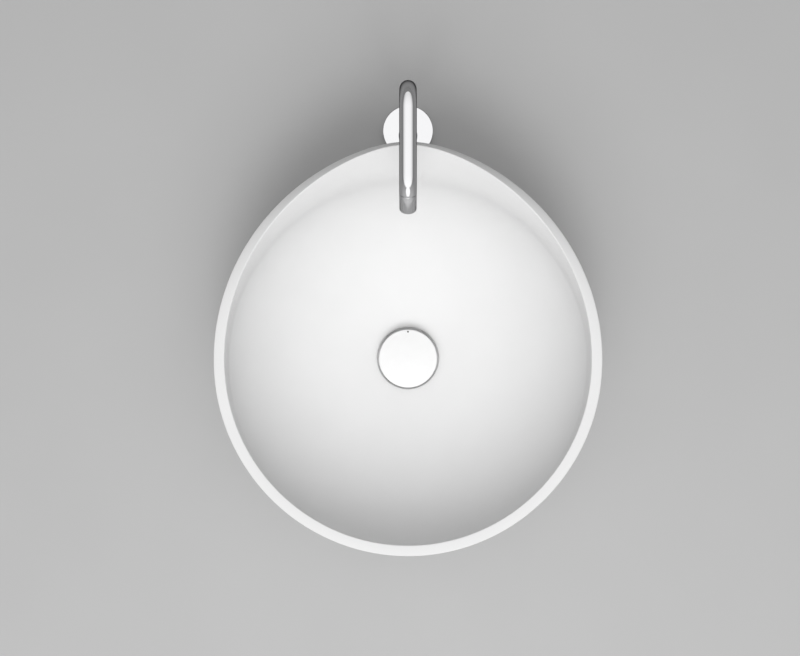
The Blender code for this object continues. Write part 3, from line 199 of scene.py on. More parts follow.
panel = add_node(room, "ShaderNodeMath", {0: ceiling_oval(*PANEL), 1: ceiling_oval(*WINDOW)},
                 operation="MAXIMUM")
side_fade = add_node(room, "ShaderNodeMapRange", {0: aside, **PANEL_SIDE_FADE, 3: 1, 4: PANEL_SIDE_SHARE},
                     interpolation_type="SMOOTHSTEP")
back_fade = add_node(room, "ShaderNodeMapRange", {0: along, **PANEL_BACK_FADE, 3: PANEL_FRONT_GLOW,
                                                  4: PANEL_BACK_GLOW})
panel_glow = add_node(room, "ShaderNodeMath", {0: side_fade, 1: back_fade}, operation="MULTIPLY")
walls = add_node(room, "ShaderNodeMapRange", {0: toward.outputs["Y"], 1: -1, 2: 0, 3: FRONT_WALL_GLOW,
                                              4: SIDE_WALL_GLOW})
mirrored = add_node(room, "ShaderNodeMix", {0: panel, 2: walls, 3: panel_glow})
rays = room.node_tree.nodes.new("ShaderNodeLightPath")
glossy = add_node(room, "ShaderNodeMath", {0: rays.outputs["Is Glossy Ray"],
                                           1: rays.outputs["Is Transmission Ray"]}, operation="MAXIMUM")
brightest = (0, -cos(ROOM_LIGHT_HEIGHT), sin(ROOM_LIGHT_HEIGHT))
facing = add_node(room, "ShaderNodeVectorMath", {0: direction, 1: brightest}, "Value",
                  operation="DOT_PRODUCT")
room_glow = add_node(room, "ShaderNodeMapRange", {0: facing, 1: cos(ROOM_BRIGHT_SPREAD), 2: 1, 3: ROOM_DARK,
                                                  4: ROOM_BRIGHT})
bounced = add_node(room, "ShaderNodeMix", {0: glossy, 2: room_glow, 3: mirrored})
strength = add_node(room, "ShaderNodeMix", {0: rays.outputs["Is Camera Ray"], 2: bounced, 3: BACKDROP_GLOW})
background = room.node_tree.nodes["Background"]
background.inputs["Color"].default_value = linear("#FFFFFF")
room.node_tree.links.new(strength, background.inputs["Strength"])


# Basin: a round bowl of slip-cast white ceramic on a low foot, with its rim drawn up and out
# into a lip behind. It is cast in one piece, glazed matt and fired, and stands on the counter.

# The basin's lengths are in metres, and those of the pieces after it in millimetres
MM = 0.001
MERGE = 0.000001
FLAT = 0.999999
SMOOTH_ANGLE = radians(35)
BEVEL_ANGLE = radians(30)
RIM_OUTER_RADIUS = 0.210
RIM_WALL = 0.012
RIM_HEIGHT = 0.140
RIM_ROUNDING = 0.0012
LIP_RISE = 0.042
LIP_RISE_POWER = 1.9
LIP_REACH = 0.0343
LIP_REACH_POWER = 2.3
LIP_LEAN = radians(64)
LIP_LEAN_POWER = 1.4
LIP_SPREAD = radians(91)
LIP_POINT_ROUNDING = radians(8)
LIP_FLATNESS = 1.8
WALL_DRAFT = radians(8)
WIDEST_HEIGHT = 0.150
INNER_DEPTH = 0.123
OUTER_DEPTH = 0.163
SHOULDER = 0.130
RECESS_EDGE = 0.02927
RECESS_FLOOR = 0.02497
RECESS_RADIUS = 0.0368
RECESS_ROUNDING = 0.0012
DRAIN_RADIUS = 0.023
FOOT_TOP = 0.002
FOOT_RADIUS = 0.08816
FOOT_CHAMFER = 0.002
GROOVE_OUTER_RADIUS = 0.08166
GROOVE_INNER_RADIUS = 0.07506
GROOVE_DEPTH = 0.002
FOOT_INNER_RADIUS = 0.07016
UNDERSIDE = 0.004
BOWL_POINTS = 26
FLARE_POINTS = 10
EDGE_POINTS = 5
BASIN_STEPS = 180


def turned(name, outline, steps, centre=(0, 0), edge=0, scale=MM):
    """A piece turned about an upright axis, from its outline of radii and heights in units of scale."""
    clear_selection()
    bpy.ops.mesh.primitive_plane_add(size=MM)
    piece = bpy.context.object
    piece.name = name
    bpy.ops.object.mode_set(mode="EDIT")
    bpy.ops.mesh.merge(type="CENTER")
    at = outline[0]
    bpy.ops.transform.translate(value=(at[0] * scale, 0, at[1] * scale))
    for point in outline[1:] + (outline[:1] if at[0] > 0 else []):
        step = ((point[0] - at[0]) * scale, 0, (point[1] - at[1]) * scale)
        bpy.ops.mesh.extrude_vertices_move(TRANSFORM_OT_translate={"value": step})
        at = point
    bpy.ops.mesh.select_all(action="SELECT")
    bpy.ops.mesh.spin(steps=steps, angle=2 * pi, center=(0, 0, 0), axis=(0, 0, 1))
    bpy.ops.mesh.select_all(action="SELECT")
    bpy.ops.mesh.remove_doubles(threshold=MERGE)
    bpy.ops.mesh.normals_make_consistent(inside=False)
    bpy.ops.transform.translate(value=(centre[0] * MM, centre[1] * MM, 0))
    bpy.ops.mesh.select_all(action="DESELECT")
    bpy.ops.object.mode_set(mode="OBJECT")
    # The slices of a flat end are joined to one face
    for face in piece.data.polygons:
        face.select = len(face.vertices) == 3 and abs(face.normal.z) > FLAT
    if any(face.select for face in piece.data.polygons):
        bpy.ops.object.mode_set(mode="EDIT")
        bpy.ops.mesh.select_mode(type="FACE")
        bpy.ops.mesh.dissolve_faces()
        bpy.ops.mesh.select_mode(type="VERT")
        bpy.ops.object.mode_set(mode="OBJECT")
    if edge:
        round_edges(piece, edge)
    smooth(piece)
    return piece


def pick(piece):
    """Leaves only this piece selected, and makes it the active one."""
    clear_selection()
    piece.select_set(True)
    bpy.context.view_layer.objects.active = piece


def finish_modifier(piece):
    """Applies the modifier that was added last."""
    pick(piece)
    bpy.ops.object.modifier_apply(modifier=piece.modifiers[-1].name)


def merge_doubles():
    """Joins points of the active piece that lie on each other, and dissolves faces of no area."""
    bpy.ops.object.mode_set(mode="EDIT")
    bpy.ops.mesh.select_all(action="SELECT")
    bpy.ops.mesh.remove_doubles(threshold=MERGE)
    bpy.ops.mesh.dissolve_degenerate(threshold=MERGE)
    bpy.ops.object.mode_set(mode="OBJECT")


def round_edges(piece, width, segments=2):
    """Takes the sharpness off the edges, by a width in millimetres."""
    bevel = piece.modifiers.new("rounding", "BEVEL")
    bevel.width = width * MM
    bevel.segments = segments
    bevel.limit_method = "ANGLE"
    bevel.angle_limit = BEVEL_ANGLE
    finish_modifier(piece)
    merge_doubles()


def smooth(piece):
    """Shades a piece smooth, apart from its sharp edges."""
    pick(piece)
    bpy.ops.object.shade_smooth_by_angle(angle=SMOOTH_ANGLE)


def fit(piece, finish, body, *nodes):
    """Gives a piece its finish and its body, and puts it in the place of the nodes it stands for."""
    piece.data.materials.clear()
    piece.data.materials.append(finish)
    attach(piece, body)
    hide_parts(*nodes)


def widest_radius(rim_radius, depth):
    """Half the width of the wall's ellipse, which passes through the rim."""
    return rim_radius / sqrt(1 - ((WIDEST_HEIGHT - RIM_HEIGHT) / depth) ** 2)


def wall_line(rim_radius, depth, low, lip, lip_lean):
    """One side of the wall from low down to the lip: part of an ellipse, then a smooth flare."""
    widest = widest_radius(rim_radius, depth)
    low_turn = asin((WIDEST_HEIGHT - low) / depth)
    shoulder_turn = asin((WIDEST_HEIGHT - SHOULDER) / depth)
    turns = [low_turn + (shoulder_turn - low_turn) * i / BOWL_POINTS for i in range(BOWL_POINTS + 1)]
    points = [(widest * cos(t), WIDEST_HEIGHT - depth * sin(t)) for t in turns]
    start = points[-1]
    start_lean = atan2(widest * sin(shoulder_turn), depth * cos(shoulder_turn))
    span = hypot(lip[0] - start[0], lip[1] - start[1])
    for i in range(1, FLARE_POINTS + 1):
        t = i / FLARE_POINTS
        weights = (2 * t ** 3 - 3 * t ** 2 + 1, (t ** 3 - 2 * t ** 2 + t) * span,
                   3 * t ** 2 - 2 * t ** 3, (t ** 3 - t ** 2) * span * LIP_FLATNESS)
        radii = (start[0], sin(start_lean), lip[0], sin(lip_lean))
        heights = (start[1], cos(start_lean), lip[1], cos(lip_lean))
        points.append((sum(w * r for w, r in zip(weights, radii)),
                       sum(w * h for w, h in zip(weights, heights))))
    return points


def corner(centre, first, last):
    """A quarter round of the rim's edge, between two directions from its centre."""
    points = []
    for i in range(1, EDGE_POINTS):
        t = pi / 2 * i / EDGE_POINTS
        points.append((centre[0] + RIM_ROUNDING * (first[0] * cos(t) + last[0] * sin(t)),
                       centre[1] + RIM_ROUNDING * (first[1] * cos(t) + last[1] * sin(t))))
    return points


def basin_outline(turn):
    """The wall's closed outline at one turn about the drain, 0 in front and half a turn behind."""
    from_back = pi - abs(turn)
    share = max(0, 1 - (hypot(from_back, LIP_POINT_ROUNDING) - LIP_POINT_ROUNDING) / LIP_SPREAD)
    lean = LIP_LEAN * share ** LIP_LEAN_POWER
    along = (cos(lean), -sin(lean))
    down = (-sin(lean), -cos(lean))
    inner = (RIM_OUTER_RADIUS - RIM_WALL + LIP_REACH * share ** LIP_REACH_POWER,
             RIM_HEIGHT + LIP_RISE * ((1 - cos(turn)) / 2) ** LIP_RISE_POWER)

    def rim_point(across, below):
        """A point of the rim, so far across its top from the inner edge and so far below it."""
        return (inner[0] + along[0] * across + down[0] * below,
                inner[1] + along[1] * across + down[1] * below)

    r = RIM_ROUNDING
    back_along = (-along[0], -along[1])
    back_down = (-down[0], -down[1])
    lip_lean = max(lean, WALL_DRAFT)
    outline = [(DRAIN_RADIUS, RECESS_FLOOR), (RECESS_RADIUS, RECESS_FLOOR),
               (RECESS_RADIUS, RECESS_EDGE - RECESS_ROUNDING)]
    outline += wall_line(RIM_OUTER_RADIUS - RIM_WALL, INNER_DEPTH, RECESS_EDGE, rim_point(0, r), lip_lean)
    outline += corner(rim_point(r, r), back_along, back_down)
    outline += [rim_point(r, 0), rim_point(RIM_WALL - r, 0)]
    outline += corner(rim_point(RIM_WALL - r, r), back_down, along)
    outer = wall_line(RIM_OUTER_RADIUS, OUTER_DEPTH, FOOT_TOP, rim_point(RIM_WALL, r), lip_lean)
    outline += outer[::-1]
    outline += [(FOOT_RADIUS - FOOT_CHAMFER, 0), (GROOVE_OUTER_RADIUS, 0),
                (GROOVE_OUTER_RADIUS, GROOVE_DEPTH), (GROOVE_INNER_RADIUS, GROOVE_DEPTH),
                (GROOVE_INNER_RADIUS, 0), (FOOT_INNER_RADIUS, 0), (FOOT_INNER_RADIUS, UNDERSIDE),
                (DRAIN_RADIUS, UNDERSIDE)]
    return outline


front = basin_outline(0)
basin = turned("basin_bowl", front, BASIN_STEPS, scale=1)
# The round bowl is turned first, and then each upright slice is drawn to its own outline
places = np.array([v.co for v in basin.data.vertices])
radii = np.hypot(places[:, 0], places[:, 1])
front_points = np.array(front)
apart = np.hypot(radii[:, None] - front_points[:, 0], places[:, 2][:, None] - front_points[:, 1])
rows = apart.argmin(axis=1)
outlines = {}
for vertex, row in zip(basin.data.vertices, rows):
    turn = atan2(vertex.co.x, -vertex.co.y)
    slice_turn = round(turn / (2 * pi) * BASIN_STEPS)
    if slice_turn not in outlines:
        outlines[slice_turn] = basin_outline(2 * pi * slice_turn / BASIN_STEPS)
    r, z = outlines[slice_turn][row]
    vertex.co = (r * sin(turn), -r * cos(turn), z)
basin.data.update()
smooth(basin)

# Matt glaze on ceramic: one soft white all over, its sheen broken by an eggshell grain of about 2 mm.
# Its tone changes faintly over about 45 mm. Nearly all of a noise texture's values lie in NOISE_SPREAD.
NOISE_SPREAD = {1: 0.3, 2: 0.7}
matt_glaze = new_finish("matt_white_glaze", "#E1E1E1", 0.44)
glaze_place = add_node(matt_glaze, "ShaderNodeTexCoord", {}, "Object")
grain = add_node(matt_glaze, "ShaderNodeTexNoise", {"Vector": glaze_place, "Scale": 480, "Detail": 3})
pooling = add_node(matt_glaze, "ShaderNodeTexNoise", {"Vector": glaze_place, "Scale": 22, "Detail": 2})
glaze_tone = add_node(matt_glaze, "ShaderNodeMix", {0: pooling, 6: linear("#DFDFDF"), 7: linear("#E3E3E3")},
                      2, data_type="RGBA")
glaze_sheen = add_node(matt_glaze, "ShaderNodeMapRange", {0: grain, **NOISE_SPREAD, 3: 0.38, 4: 0.5})
glaze_bump = add_node(matt_glaze, "ShaderNodeBump", {"Strength": 0.05, "Distance": 0.0002, "Height": grain})
feed(matt_glaze, Base_Color=glaze_tone, Roughness=glaze_sheen, Normal=glaze_bump)
fit(basin, matt_glaze, "fixed_set", "basin_shell")


# Foot seal: a ring of black silicone rubber that lies in a groove under the foot.
# It is moulded, and the basin's weight presses it on the counter.
def black_rubber(name):
    """Moulded rubber: nearly black and dull, with a grain of about 1 mm left by the mould."""
    finish = new_finish(name, "#1B1B1C", 0.65)
    place = add_node(finish, "ShaderNodeTexCoord", {}, "Object")
    grain = add_node(finish, "ShaderNodeTexNoise", {"Vector": place, "Scale": 900, "Detail": 3})
    tone = add_node(finish, "ShaderNodeMix", {0: grain, 6: linear("#161617"), 7: linear("#262627")}, 2,
                    data_type="RGBA")
    sheen = add_node(finish, "ShaderNodeMapRange", {0: grain, **NOISE_SPREAD, 3: 0.55, 4: 0.8})
    bump = add_node(finish, "ShaderNodeBump", {"Strength": 0.3, "Distance": 0.0001, "Height": grain})
    feed(finish, Base_Color=tone, Roughness=sheen, Normal=bump)
    return finish


def ring(inner, outer, bottom, top):
    """Outline of a flat ring, from its inner and outer radius, its bottom and its top."""
    return [(outer, top), (outer, bottom), (inner, bottom), (inner, top)]


seal_rubber = black_rubber("moulded_silicone_rubber")
FOOT_SEAL = (75.36, 81.36, 0, 1.7)
foot_seal = turned("foot_seal_ring", ring(*FOOT_SEAL), 128, edge=0.4)
fit(foot_seal, seal_rubber, "fixed_set", "foot_seal")


# Waste body: a chromed brass tube with a wide flange, which hangs through the basin and the counter.
# It is cast in one with the three-armed spider inside it, which holds the click works, and then it is
# turned, threaded outside and plated. A rubber gasket lies under its flange.
def polished_chrome(name, smoothest=0.035, roughest=0.075):
    """Chrome plate on brass: a mirror with the faintest wipe marks, darker where it is seen edge on."""
    finish = new_finish(name, "#C6C6C7", roughest, 1)
    finish.node_tree.nodes["Principled BSDF"].inputs["Specular Tint"].default_value = linear("#595959")
    place = add_node(finish, "ShaderNodeTexCoord", {}, "Object")
    wipe = add_node(finish, "ShaderNodeTexNoise", {"Vector": place, "Scale": 60, "Detail": 3})
    sheen = add_node(finish, "ShaderNodeMapRange", {0: wipe, **NOISE_SPREAD, 3: smoothest, 4: roughest})
    feed(finish, Roughness=sheen)
    return finish


# The shares of a thread's pitch that each flank and the flat crest take
FLANK = 0.35
CREST = 0.15


def combine(piece, tool, operation):
    """Cuts a tool out of a piece, joins it on, or keeps what they share, and removes the tool."""
    step = piece.modifiers.new("combine", "BOOLEAN")
    step.operation = operation
    step.solver = "EXACT"
    step.object = tool
    finish_modifier(piece)
    merge_doubles()
    bpy.data.objects.remove(tool)
    smooth(piece)


def thread(crest, root, top, bottom, pitch):
    """Outline of a thread, from its top to its bottom. Inside a nut, its root is the wider radius."""
    points = []
    z = top
    while z - pitch >= bottom:
        points += [(root, z), (crest, z - FLANK * pitch), (crest, z - (FLANK + CREST) * pitch),
                   (root, z - (2 * FLANK + CREST) * pitch)]
        z -= pitch
    return points + [(root, z)]


chrome = polished_chrome("polished_chrome_plate")
THREAD_CREST = 20.9
THREAD_ROOT = 20.15
THREAD_TOP = 12.57
THREAD_BOTTOM = -61.5
THREAD_PITCH = 2.31
WASTE_END = -62
NECK_RADIUS = 22.5
FLANGE_UNDERSIDE = 26.57
WASTE_BORE = 18.9
SPIDER_HUB = (6.3, 9, -8, -2)
# The size and place of an arm are in metres, as the operators take them
ARM_SIZE = (0.0124, 0.003, 0.0056)
ARM_PLACE = (0.0137, 0, -0.005)
waste_line = [(33.1, 28.97), (33.7, 28.78), (34, 28.28), (34, 26.98), (33.6, FLANGE_UNDERSIDE),
              (NECK_RADIUS, FLANGE_UNDERSIDE), (NECK_RADIUS, THREAD_TOP)]
waste_line += thread(THREAD_CREST, THREAD_ROOT, THREAD_TOP, THREAD_BOTTOM, THREAD_PITCH)
waste_line += [(THREAD_ROOT, WASTE_END), (WASTE_BORE, WASTE_END), (WASTE_BORE, 21.97), (21.3, 27.07)]
waste_body = turned("waste_body_turned", waste_line, 96)
spider = turned("spider", ring(*SPIDER_HUB), 48, edge=0.4)
for arm_turn in (90, 210, 330):
    clear_selection()
    bpy.ops.mesh.primitive_cube_add(size=1)
    arm = bpy.context.object
    bpy.ops.object.mode_set(mode="EDIT")
    bpy.ops.transform.resize(value=ARM_SIZE)
    bpy.ops.transform.translate(value=ARM_PLACE)
    bpy.ops.transform.rotate(value=-radians(arm_turn), orient_axis="Z", center_override=(0, 0, 0))
    bpy.ops.object.mode_set(mode="OBJECT")
    round_edges(arm, 0.4)
    combine(spider, arm, "UNION")
combine(waste_body, spider, "UNION")
fit(waste_body, chrome, "fixed_set", "waste_body")
FLANGE_GASKET = (22.8, 33.5, 25.27, 26.27)
flange_gasket = turned("flange_gasket_ring", ring(*FLANGE_GASKET), 96, edge=0.25)
fit(flange_gasket, seal_rubber, "fixed_set", "flange_gasket")


# Waste clamp: a rubber washer, an acetal slip washer and a brass backnut, tightened up under the
# counter. The nut is made from hexagon bar, and is faced, chamfered and threaded.
def machined_brass(name, centre=(0, 0)):
    """Turned brass: warm yellow, with fine lathe marks round an upright axis and a slight tarnish."""
    finish = new_finish(name, "#D3B071", 0.3, 1)
    place = add_node(finish, "ShaderNodeTexCoord", {}, "Object")
    moved = add_node(finish, "ShaderNodeMapping", {"Vector": place,
                                                   "Location": (-centre[0] * MM, -centre[1] * MM, 0)})
    parts = finish.node_tree.nodes.new("ShaderNodeSeparateXYZ")
    finish.node_tree.links.new(moved, parts.inputs[0])
    flat = add_node(finish, "ShaderNodeCombineXYZ", {"X": parts.outputs[0], "Y": parts.outputs[1]})
    radius = add_node(finish, "ShaderNodeVectorMath", {0: flat}, "Value", operation="LENGTH")
    across = add_node(finish, "ShaderNodeCombineXYZ", {"X": radius, "Z": parts.outputs[2]})
    marks = add_node(finish, "ShaderNodeTexNoise", {"Vector": across, "Scale": 2200, "Detail": 2})
    tarnish = add_node(finish, "ShaderNodeTexNoise", {"Vector": place, "Scale": 70, "Detail": 4})
    tone = add_node(finish, "ShaderNodeMix", {0: tarnish, 6: linear("#B98F4E"), 7: linear("#DDBE82")}, 2,
                    data_type="RGBA")
    sheen = add_node(finish, "ShaderNodeMapRange", {0: tarnish, **NOISE_SPREAD, 3: 0.24, 4: 0.42})
    bump = add_node(finish, "ShaderNodeBump", {"Strength": 0.25, "Distance": 0.00008, "Height": marks})
    feed(finish, Base_Color=tone, Roughness=sheen, Normal=bump)
    return finish


def white_plastic(name):
    """Moulded acetal: an off-white with a soft sheen and a moulded grain of about 1 mm."""
    finish = new_finish(name, "#E6E6E1", 0.4)
    place = add_node(finish, "ShaderNodeTexCoord", {}, "Object")
    grain = add_node(finish, "ShaderNodeTexNoise", {"Vector": place, "Scale": 1200, "Detail": 2})
    tone = add_node(finish, "ShaderNodeMix", {0: grain, 6: linear("#E1E1DC"), 7: linear("#EBEBE7")}, 2,
                    data_type="RGBA")
    sheen = add_node(finish, "ShaderNodeMapRange", {0: grain, **NOISE_SPREAD, 3: 0.34, 4: 0.48})
    bump = add_node(finish, "ShaderNodeBump", {"Strength": 0.15, "Distance": 0.00005, "Height": grain})
    feed(finish, Base_Color=tone, Roughness=sheen, Normal=bump)
    return finish


NUT_FACE_INSET = 0.2
NUT_MARGIN = 0.1
NUT_SKIM = 0.01
NUT_THREAD_DEPTH = 0.6
NUT_THREAD_PITCH = 1.8


def hex_nut(name, bore, across_corners, top, height, centre=(0, 0)):
    """A six-sided nut: a hexagon prism with chamfered corners and a threaded bore."""
    corner_radius = across_corners / 2
    flat_radius = corner_radius * cos(pi / 6)
    chamfer = (corner_radius - flat_radius) * 0.5
    clear_selection()
    bpy.ops.mesh.primitive_cylinder_add(vertices=6, radius=corner_radius * MM, depth=height * MM,
                                        location=(centre[0] * MM, centre[1] * MM, (top - height / 2) * MM))
    nut = bpy.context.object
    nut.name = name
    bpy.ops.object.transform_apply(location=True, rotation=False, scale=False)
    bottom = top - height
    face_radius = flat_radius - NUT_FACE_INSET
    wide_radius = corner_radius + NUT_MARGIN
    barrel = turned("barrel", [(0, top + NUT_SKIM), (face_radius, top + NUT_SKIM),
                               (wide_radius, top - chamfer), (wide_radius, bottom + chamfer),
                               (face_radius, bottom - NUT_SKIM), (0, bottom - NUT_SKIM)], 72, centre)
    combine(nut, barrel, "INTERSECT")
    hole = [(0, top + 1), (bore, top + 1)]
    hole += thread(bore, bore + NUT_THREAD_DEPTH, top, bottom, NUT_THREAD_PITCH)
    hole += [(bore, bottom - 1), (0, bottom - 1)]
    combine(nut, turned("bore", hole, 72, centre), "DIFFERENCE")
    return nut


drain_brass = machined_brass("turned_brass_waste")
acetal = white_plastic("moulded_white_acetal")
WASTE_RUBBER = (21.2, 32, -33, -30)
WASTE_SLIP = (21.2, 31, -34.3, -33.3)
# Radius of the bore, width across the corners, top and height
WASTE_NUT = (21.2, 60, -34.6, 9)
waste_rubber = turned("waste_rubber_ring", ring(*WASTE_RUBBER), 96, edge=0.3)
fit(waste_rubber, seal_rubber, "fixed_set", "waste_rubber_washer")
waste_slip = turned("waste_slip_ring", ring(*WASTE_SLIP), 96, edge=0.15)
fit(waste_slip, acetal, "fixed_set", "waste_slip_washer")
waste_nut = hex_nut("waste_backnut_brass", *WASTE_NUT)
fit(waste_nut, drain_brass, "fixed_set", "waste_backnut")


# Click works: a moulded cartridge that is screwed into the spider, and a steel stem whose latch cam
# catches in it. A stainless coil spring lifts the turned brass carrier, which is screwed on the stem
# and holds the rubber seal.
def stainless_steel(name):
    """Turned or drawn stainless steel: a light grey metal with fine marks that run round it."""
    finish = new_finish(name, "#B9B9B7", 0.25, 1)
    place = add_node(finish, "ShaderNodeTexCoord", {}, "Object")
    stretched = add_node(finish, "ShaderNodeMapping", {"Vector": place, "Scale": (1, 1, 12)})
    marks = add_node(finish, "ShaderNodeTexNoise", {"Vector": stretched, "Scale": 300, "Detail": 3})
    tone = add_node(finish, "ShaderNodeMix", {0: marks, 6: linear("#ADADAB"), 7: linear("#C6C6C4")}, 2,
                    data_type="RGBA")
    sheen = add_node(finish, "ShaderNodeMapRange", {0: marks, **NOISE_SPREAD, 3: 0.18, 4: 0.34})
    bump = add_node(finish, "ShaderNodeBump", {"Strength": 0.15, "Distance": 0.00005, "Height": marks})
    feed(finish, Base_Color=tone, Roughness=sheen, Normal=bump)
    return finish


SECTION_POINTS = 20


def round_section(radius, height, wire):
    """Outline of a ring of round section, from its radius, its height and its wire's radius."""
    turns = [2 * pi * i / SECTION_POINTS for i in range(SECTION_POINTS)]
    return [(radius + wire * cos(t), height - wire * sin(t)) for t in turns]


steel = stainless_steel("turned_stainless_steel")
cartridge_line = [(7.8, 1), (7.8, -1.7)] + thread(6, 5.6, -1.7, -21, 1)
cartridge_line += [(5.6, -22), (1.5, -22), (1.5, -20), (4.8, -20), (4.8, -2), (3.3, -2), (3.3, 1)]
carrier_line = [(0, 38.14), (16.9, 38.14), (16.9, 34.016), (18.3, 34.016), (18.3, 33.216), (6, 33.216),
                (6, 29.716), (3.3, 29.716), (3.3, 36.216), (0, 36.216)]
stem_line = [(0, 35.916), (3, 35.916), (3, -9), (0, -9)]
LATCH_CAM = (3.3, 4.4, -8, -4)
SEAL_RADIUS = 19
SEAL_HEIGHT = 36.116
SEAL_WIRE = 1.8
for name, node, outline, edge, finish, body in (
        ("click_cartridge_moulded", "click_cartridge", cartridge_line, 0.12, acetal, "fixed_set"),
        ("plug_carrier_turned", "plug_carrier", carrier_line, 0.2, drain_brass, "waste_plug"),
        ("plug_seal_ring", "plug_seal", round_section(SEAL_RADIUS, SEAL_HEIGHT, SEAL_WIRE), 0, seal_rubber,
         "waste_plug"),
        ("click_stem_turned", "click_stem", stem_line, 0.4, steel, "waste_plug"),
        ("latch_cam_moulded", "latch_cam", ring(*LATCH_CAM), 0.15, acetal, "waste_plug")):
    fit(turned(name, outline, 64, edge=edge), finish, body, node)

SPRING_LOW = 1.87
SPRING_HIGH = 28.9
SPRING_TURNS = 7
SPRING_RADIUS = 4.4
SPRING_WIRE = 0.5
SPRING_STEPS = 28
SPRING_WIRE_SIDES = 12
clear_selection()
bpy.ops.mesh.primitive_circle_add(vertices=SPRING_WIRE_SIDES, radius=SPRING_WIRE * MM)
spring = bpy.context.object
spring.name = "return_spring_coil"
bpy.ops.object.mode_set(mode="EDIT")
bpy.ops.transform.rotate(value=pi / 2, orient_axis="X", center_override=(0, 0, 0))
bpy.ops.transform.translate(value=(SPRING_RADIUS * MM, 0, SPRING_LOW * MM))
bpy.ops.object.mode_set(mode="OBJECT")
coil = spring.modifiers.new("coil", "SCREW")
coil.angle = 2 * pi
coil.iterations = SPRING_TURNS
coil.screw_offset = (SPRING_HIGH - SPRING_LOW) / SPRING_TURNS * MM
coil.steps = SPRING_STEPS
coil.render_steps = SPRING_STEPS
finish_modifier(spring)
bpy.ops.object.mode_set(mode="EDIT")
bpy.ops.mesh.select_all(action="SELECT")
bpy.ops.mesh.fill_holes(sides=0)
bpy.ops.mesh.normals_make_consistent(inside=False)
bpy.ops.object.mode_set(mode="OBJECT")
smooth(spring)
fit(spring, steel, "fixed_set", "return_spring")
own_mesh(spring)


# Waste cap: the white domed cover that is pressed to close the drain.
# It is ceramic, glazed bright to match the bowl, with a small blind hole at its back edge.
CAP_RADIUS = 34.7
CAP_UNDERSIDE = 38.44
CAP_EDGE = 4
CAP_CROWN = 5
CAP_ROUNDING = 1.2
CAP_CHAMFER = 0.6
CROWN_POINTS = 16
SHOULDER_POINTS = 5
sphere = (CAP_RADIUS ** 2 + CAP_CROWN ** 2) / (2 * CAP_CROWN)
crown_centre = CAP_UNDERSIDE + CAP_EDGE + CAP_CROWN - sphere
rim_turn = atan2(CAP_RADIUS - CAP_ROUNDING, sphere - CAP_CROWN)
crown_turns = [rim_turn * i / CROWN_POINTS for i in range(CROWN_POINTS + 1)]
cap_line = [(sphere * sin(t), crown_centre + sphere * cos(t)) for t in crown_turns]
shoulder_z = cap_line[-1][1]
for i in range(1, SHOULDER_POINTS + 1):
    t = rim_turn + (pi / 2 - rim_turn) * i / SHOULDER_POINTS
    cap_line.append((CAP_RADIUS - CAP_ROUNDING + CAP_ROUNDING * sin(t),
                     shoulder_z - CAP_ROUNDING * (cos(rim_turn) - cos(t))))
cap_line += [(CAP_RADIUS, CAP_UNDERSIDE + CAP_CHAMFER), (CAP_RADIUS - CAP_CHAMFER, CAP_UNDERSIDE),
             (0, CAP_UNDERSIDE)]
cap = turned("waste_cap_dome", cap_line, 128)
HOLE_RADIUS = 1.0
HOLE_DEPTH = 3
HOLE_INSET = 2.4
HOLE_SHADE_EDGE_SHARE = 1.08
hole_y = CAP_RADIUS - HOLE_INSET
hole_top = crown_centre + sqrt(sphere ** 2 - hole_y ** 2)
hole_end = hole_top - HOLE_DEPTH
hole = turned("index_hole", [(0, hole_top + 1), (HOLE_RADIUS, hole_top + 1), (HOLE_RADIUS, hole_end),
                             (0, hole_end)], 32, (0, hole_y))
combine(cap, hole, "DIFFERENCE")
# Bright glaze: whiter and smoother than the bowl's, with a soft ripple of about 10 mm.
# The inside of the hole is painted dark grey: painted shade, standing in for the shade that falls in the
# hole.
bright_glaze = new_finish("bright_white_glaze", "#EBEBEB", 0.16)
cap_place = add_node(bright_glaze, "ShaderNodeTexCoord", {}, "Object")
ripple = add_node(bright_glaze, "ShaderNodeTexNoise", {"Vector": cap_place, "Scale": 110, "Detail": 2})
cap_sheen = add_node(bright_glaze, "ShaderNodeMapRange", {0: ripple, **NOISE_SPREAD, 3: 0.12, 4: 0.22})
cap_bump = add_node(bright_glaze, "ShaderNodeBump", {"Strength": 0.05, "Distance": 0.0003, "Height": ripple})
cap_tone = add_node(bright_glaze, "ShaderNodeMix", {0: ripple, 6: linear("#E9E9E9"), 7: linear("#EDEDED")}, 2,
                    data_type="RGBA")
# Painted shade: a mask by distance from the hole's axis turns the glaze dark grey inside the hole
from_hole = add_node(bright_glaze, "ShaderNodeMapping",
                     {"Vector": cap_place, "Location": (0, -hole_y * MM, 0), "Scale": (1, 1, 0)})
hole_reach = add_node(bright_glaze, "ShaderNodeVectorMath", {0: from_hole}, "Value", operation="LENGTH")
painted_hole_shade = add_node(bright_glaze, "ShaderNodeMapRange",
                   {0: hole_reach, 1: HOLE_RADIUS * MM * HOLE_SHADE_EDGE_SHARE, 2: HOLE_RADIUS * MM})
cap_tone = add_node(bright_glaze, "ShaderNodeMix", {0: painted_hole_shade, 6: cap_tone, 7: linear("#4A4A48")}, 2,
                    data_type="RGBA")
feed(bright_glaze, Base_Color=cap_tone, Roughness=cap_sheen, Normal=cap_bump)
fit(cap, bright_glaze, "waste_plug", "waste_cap")


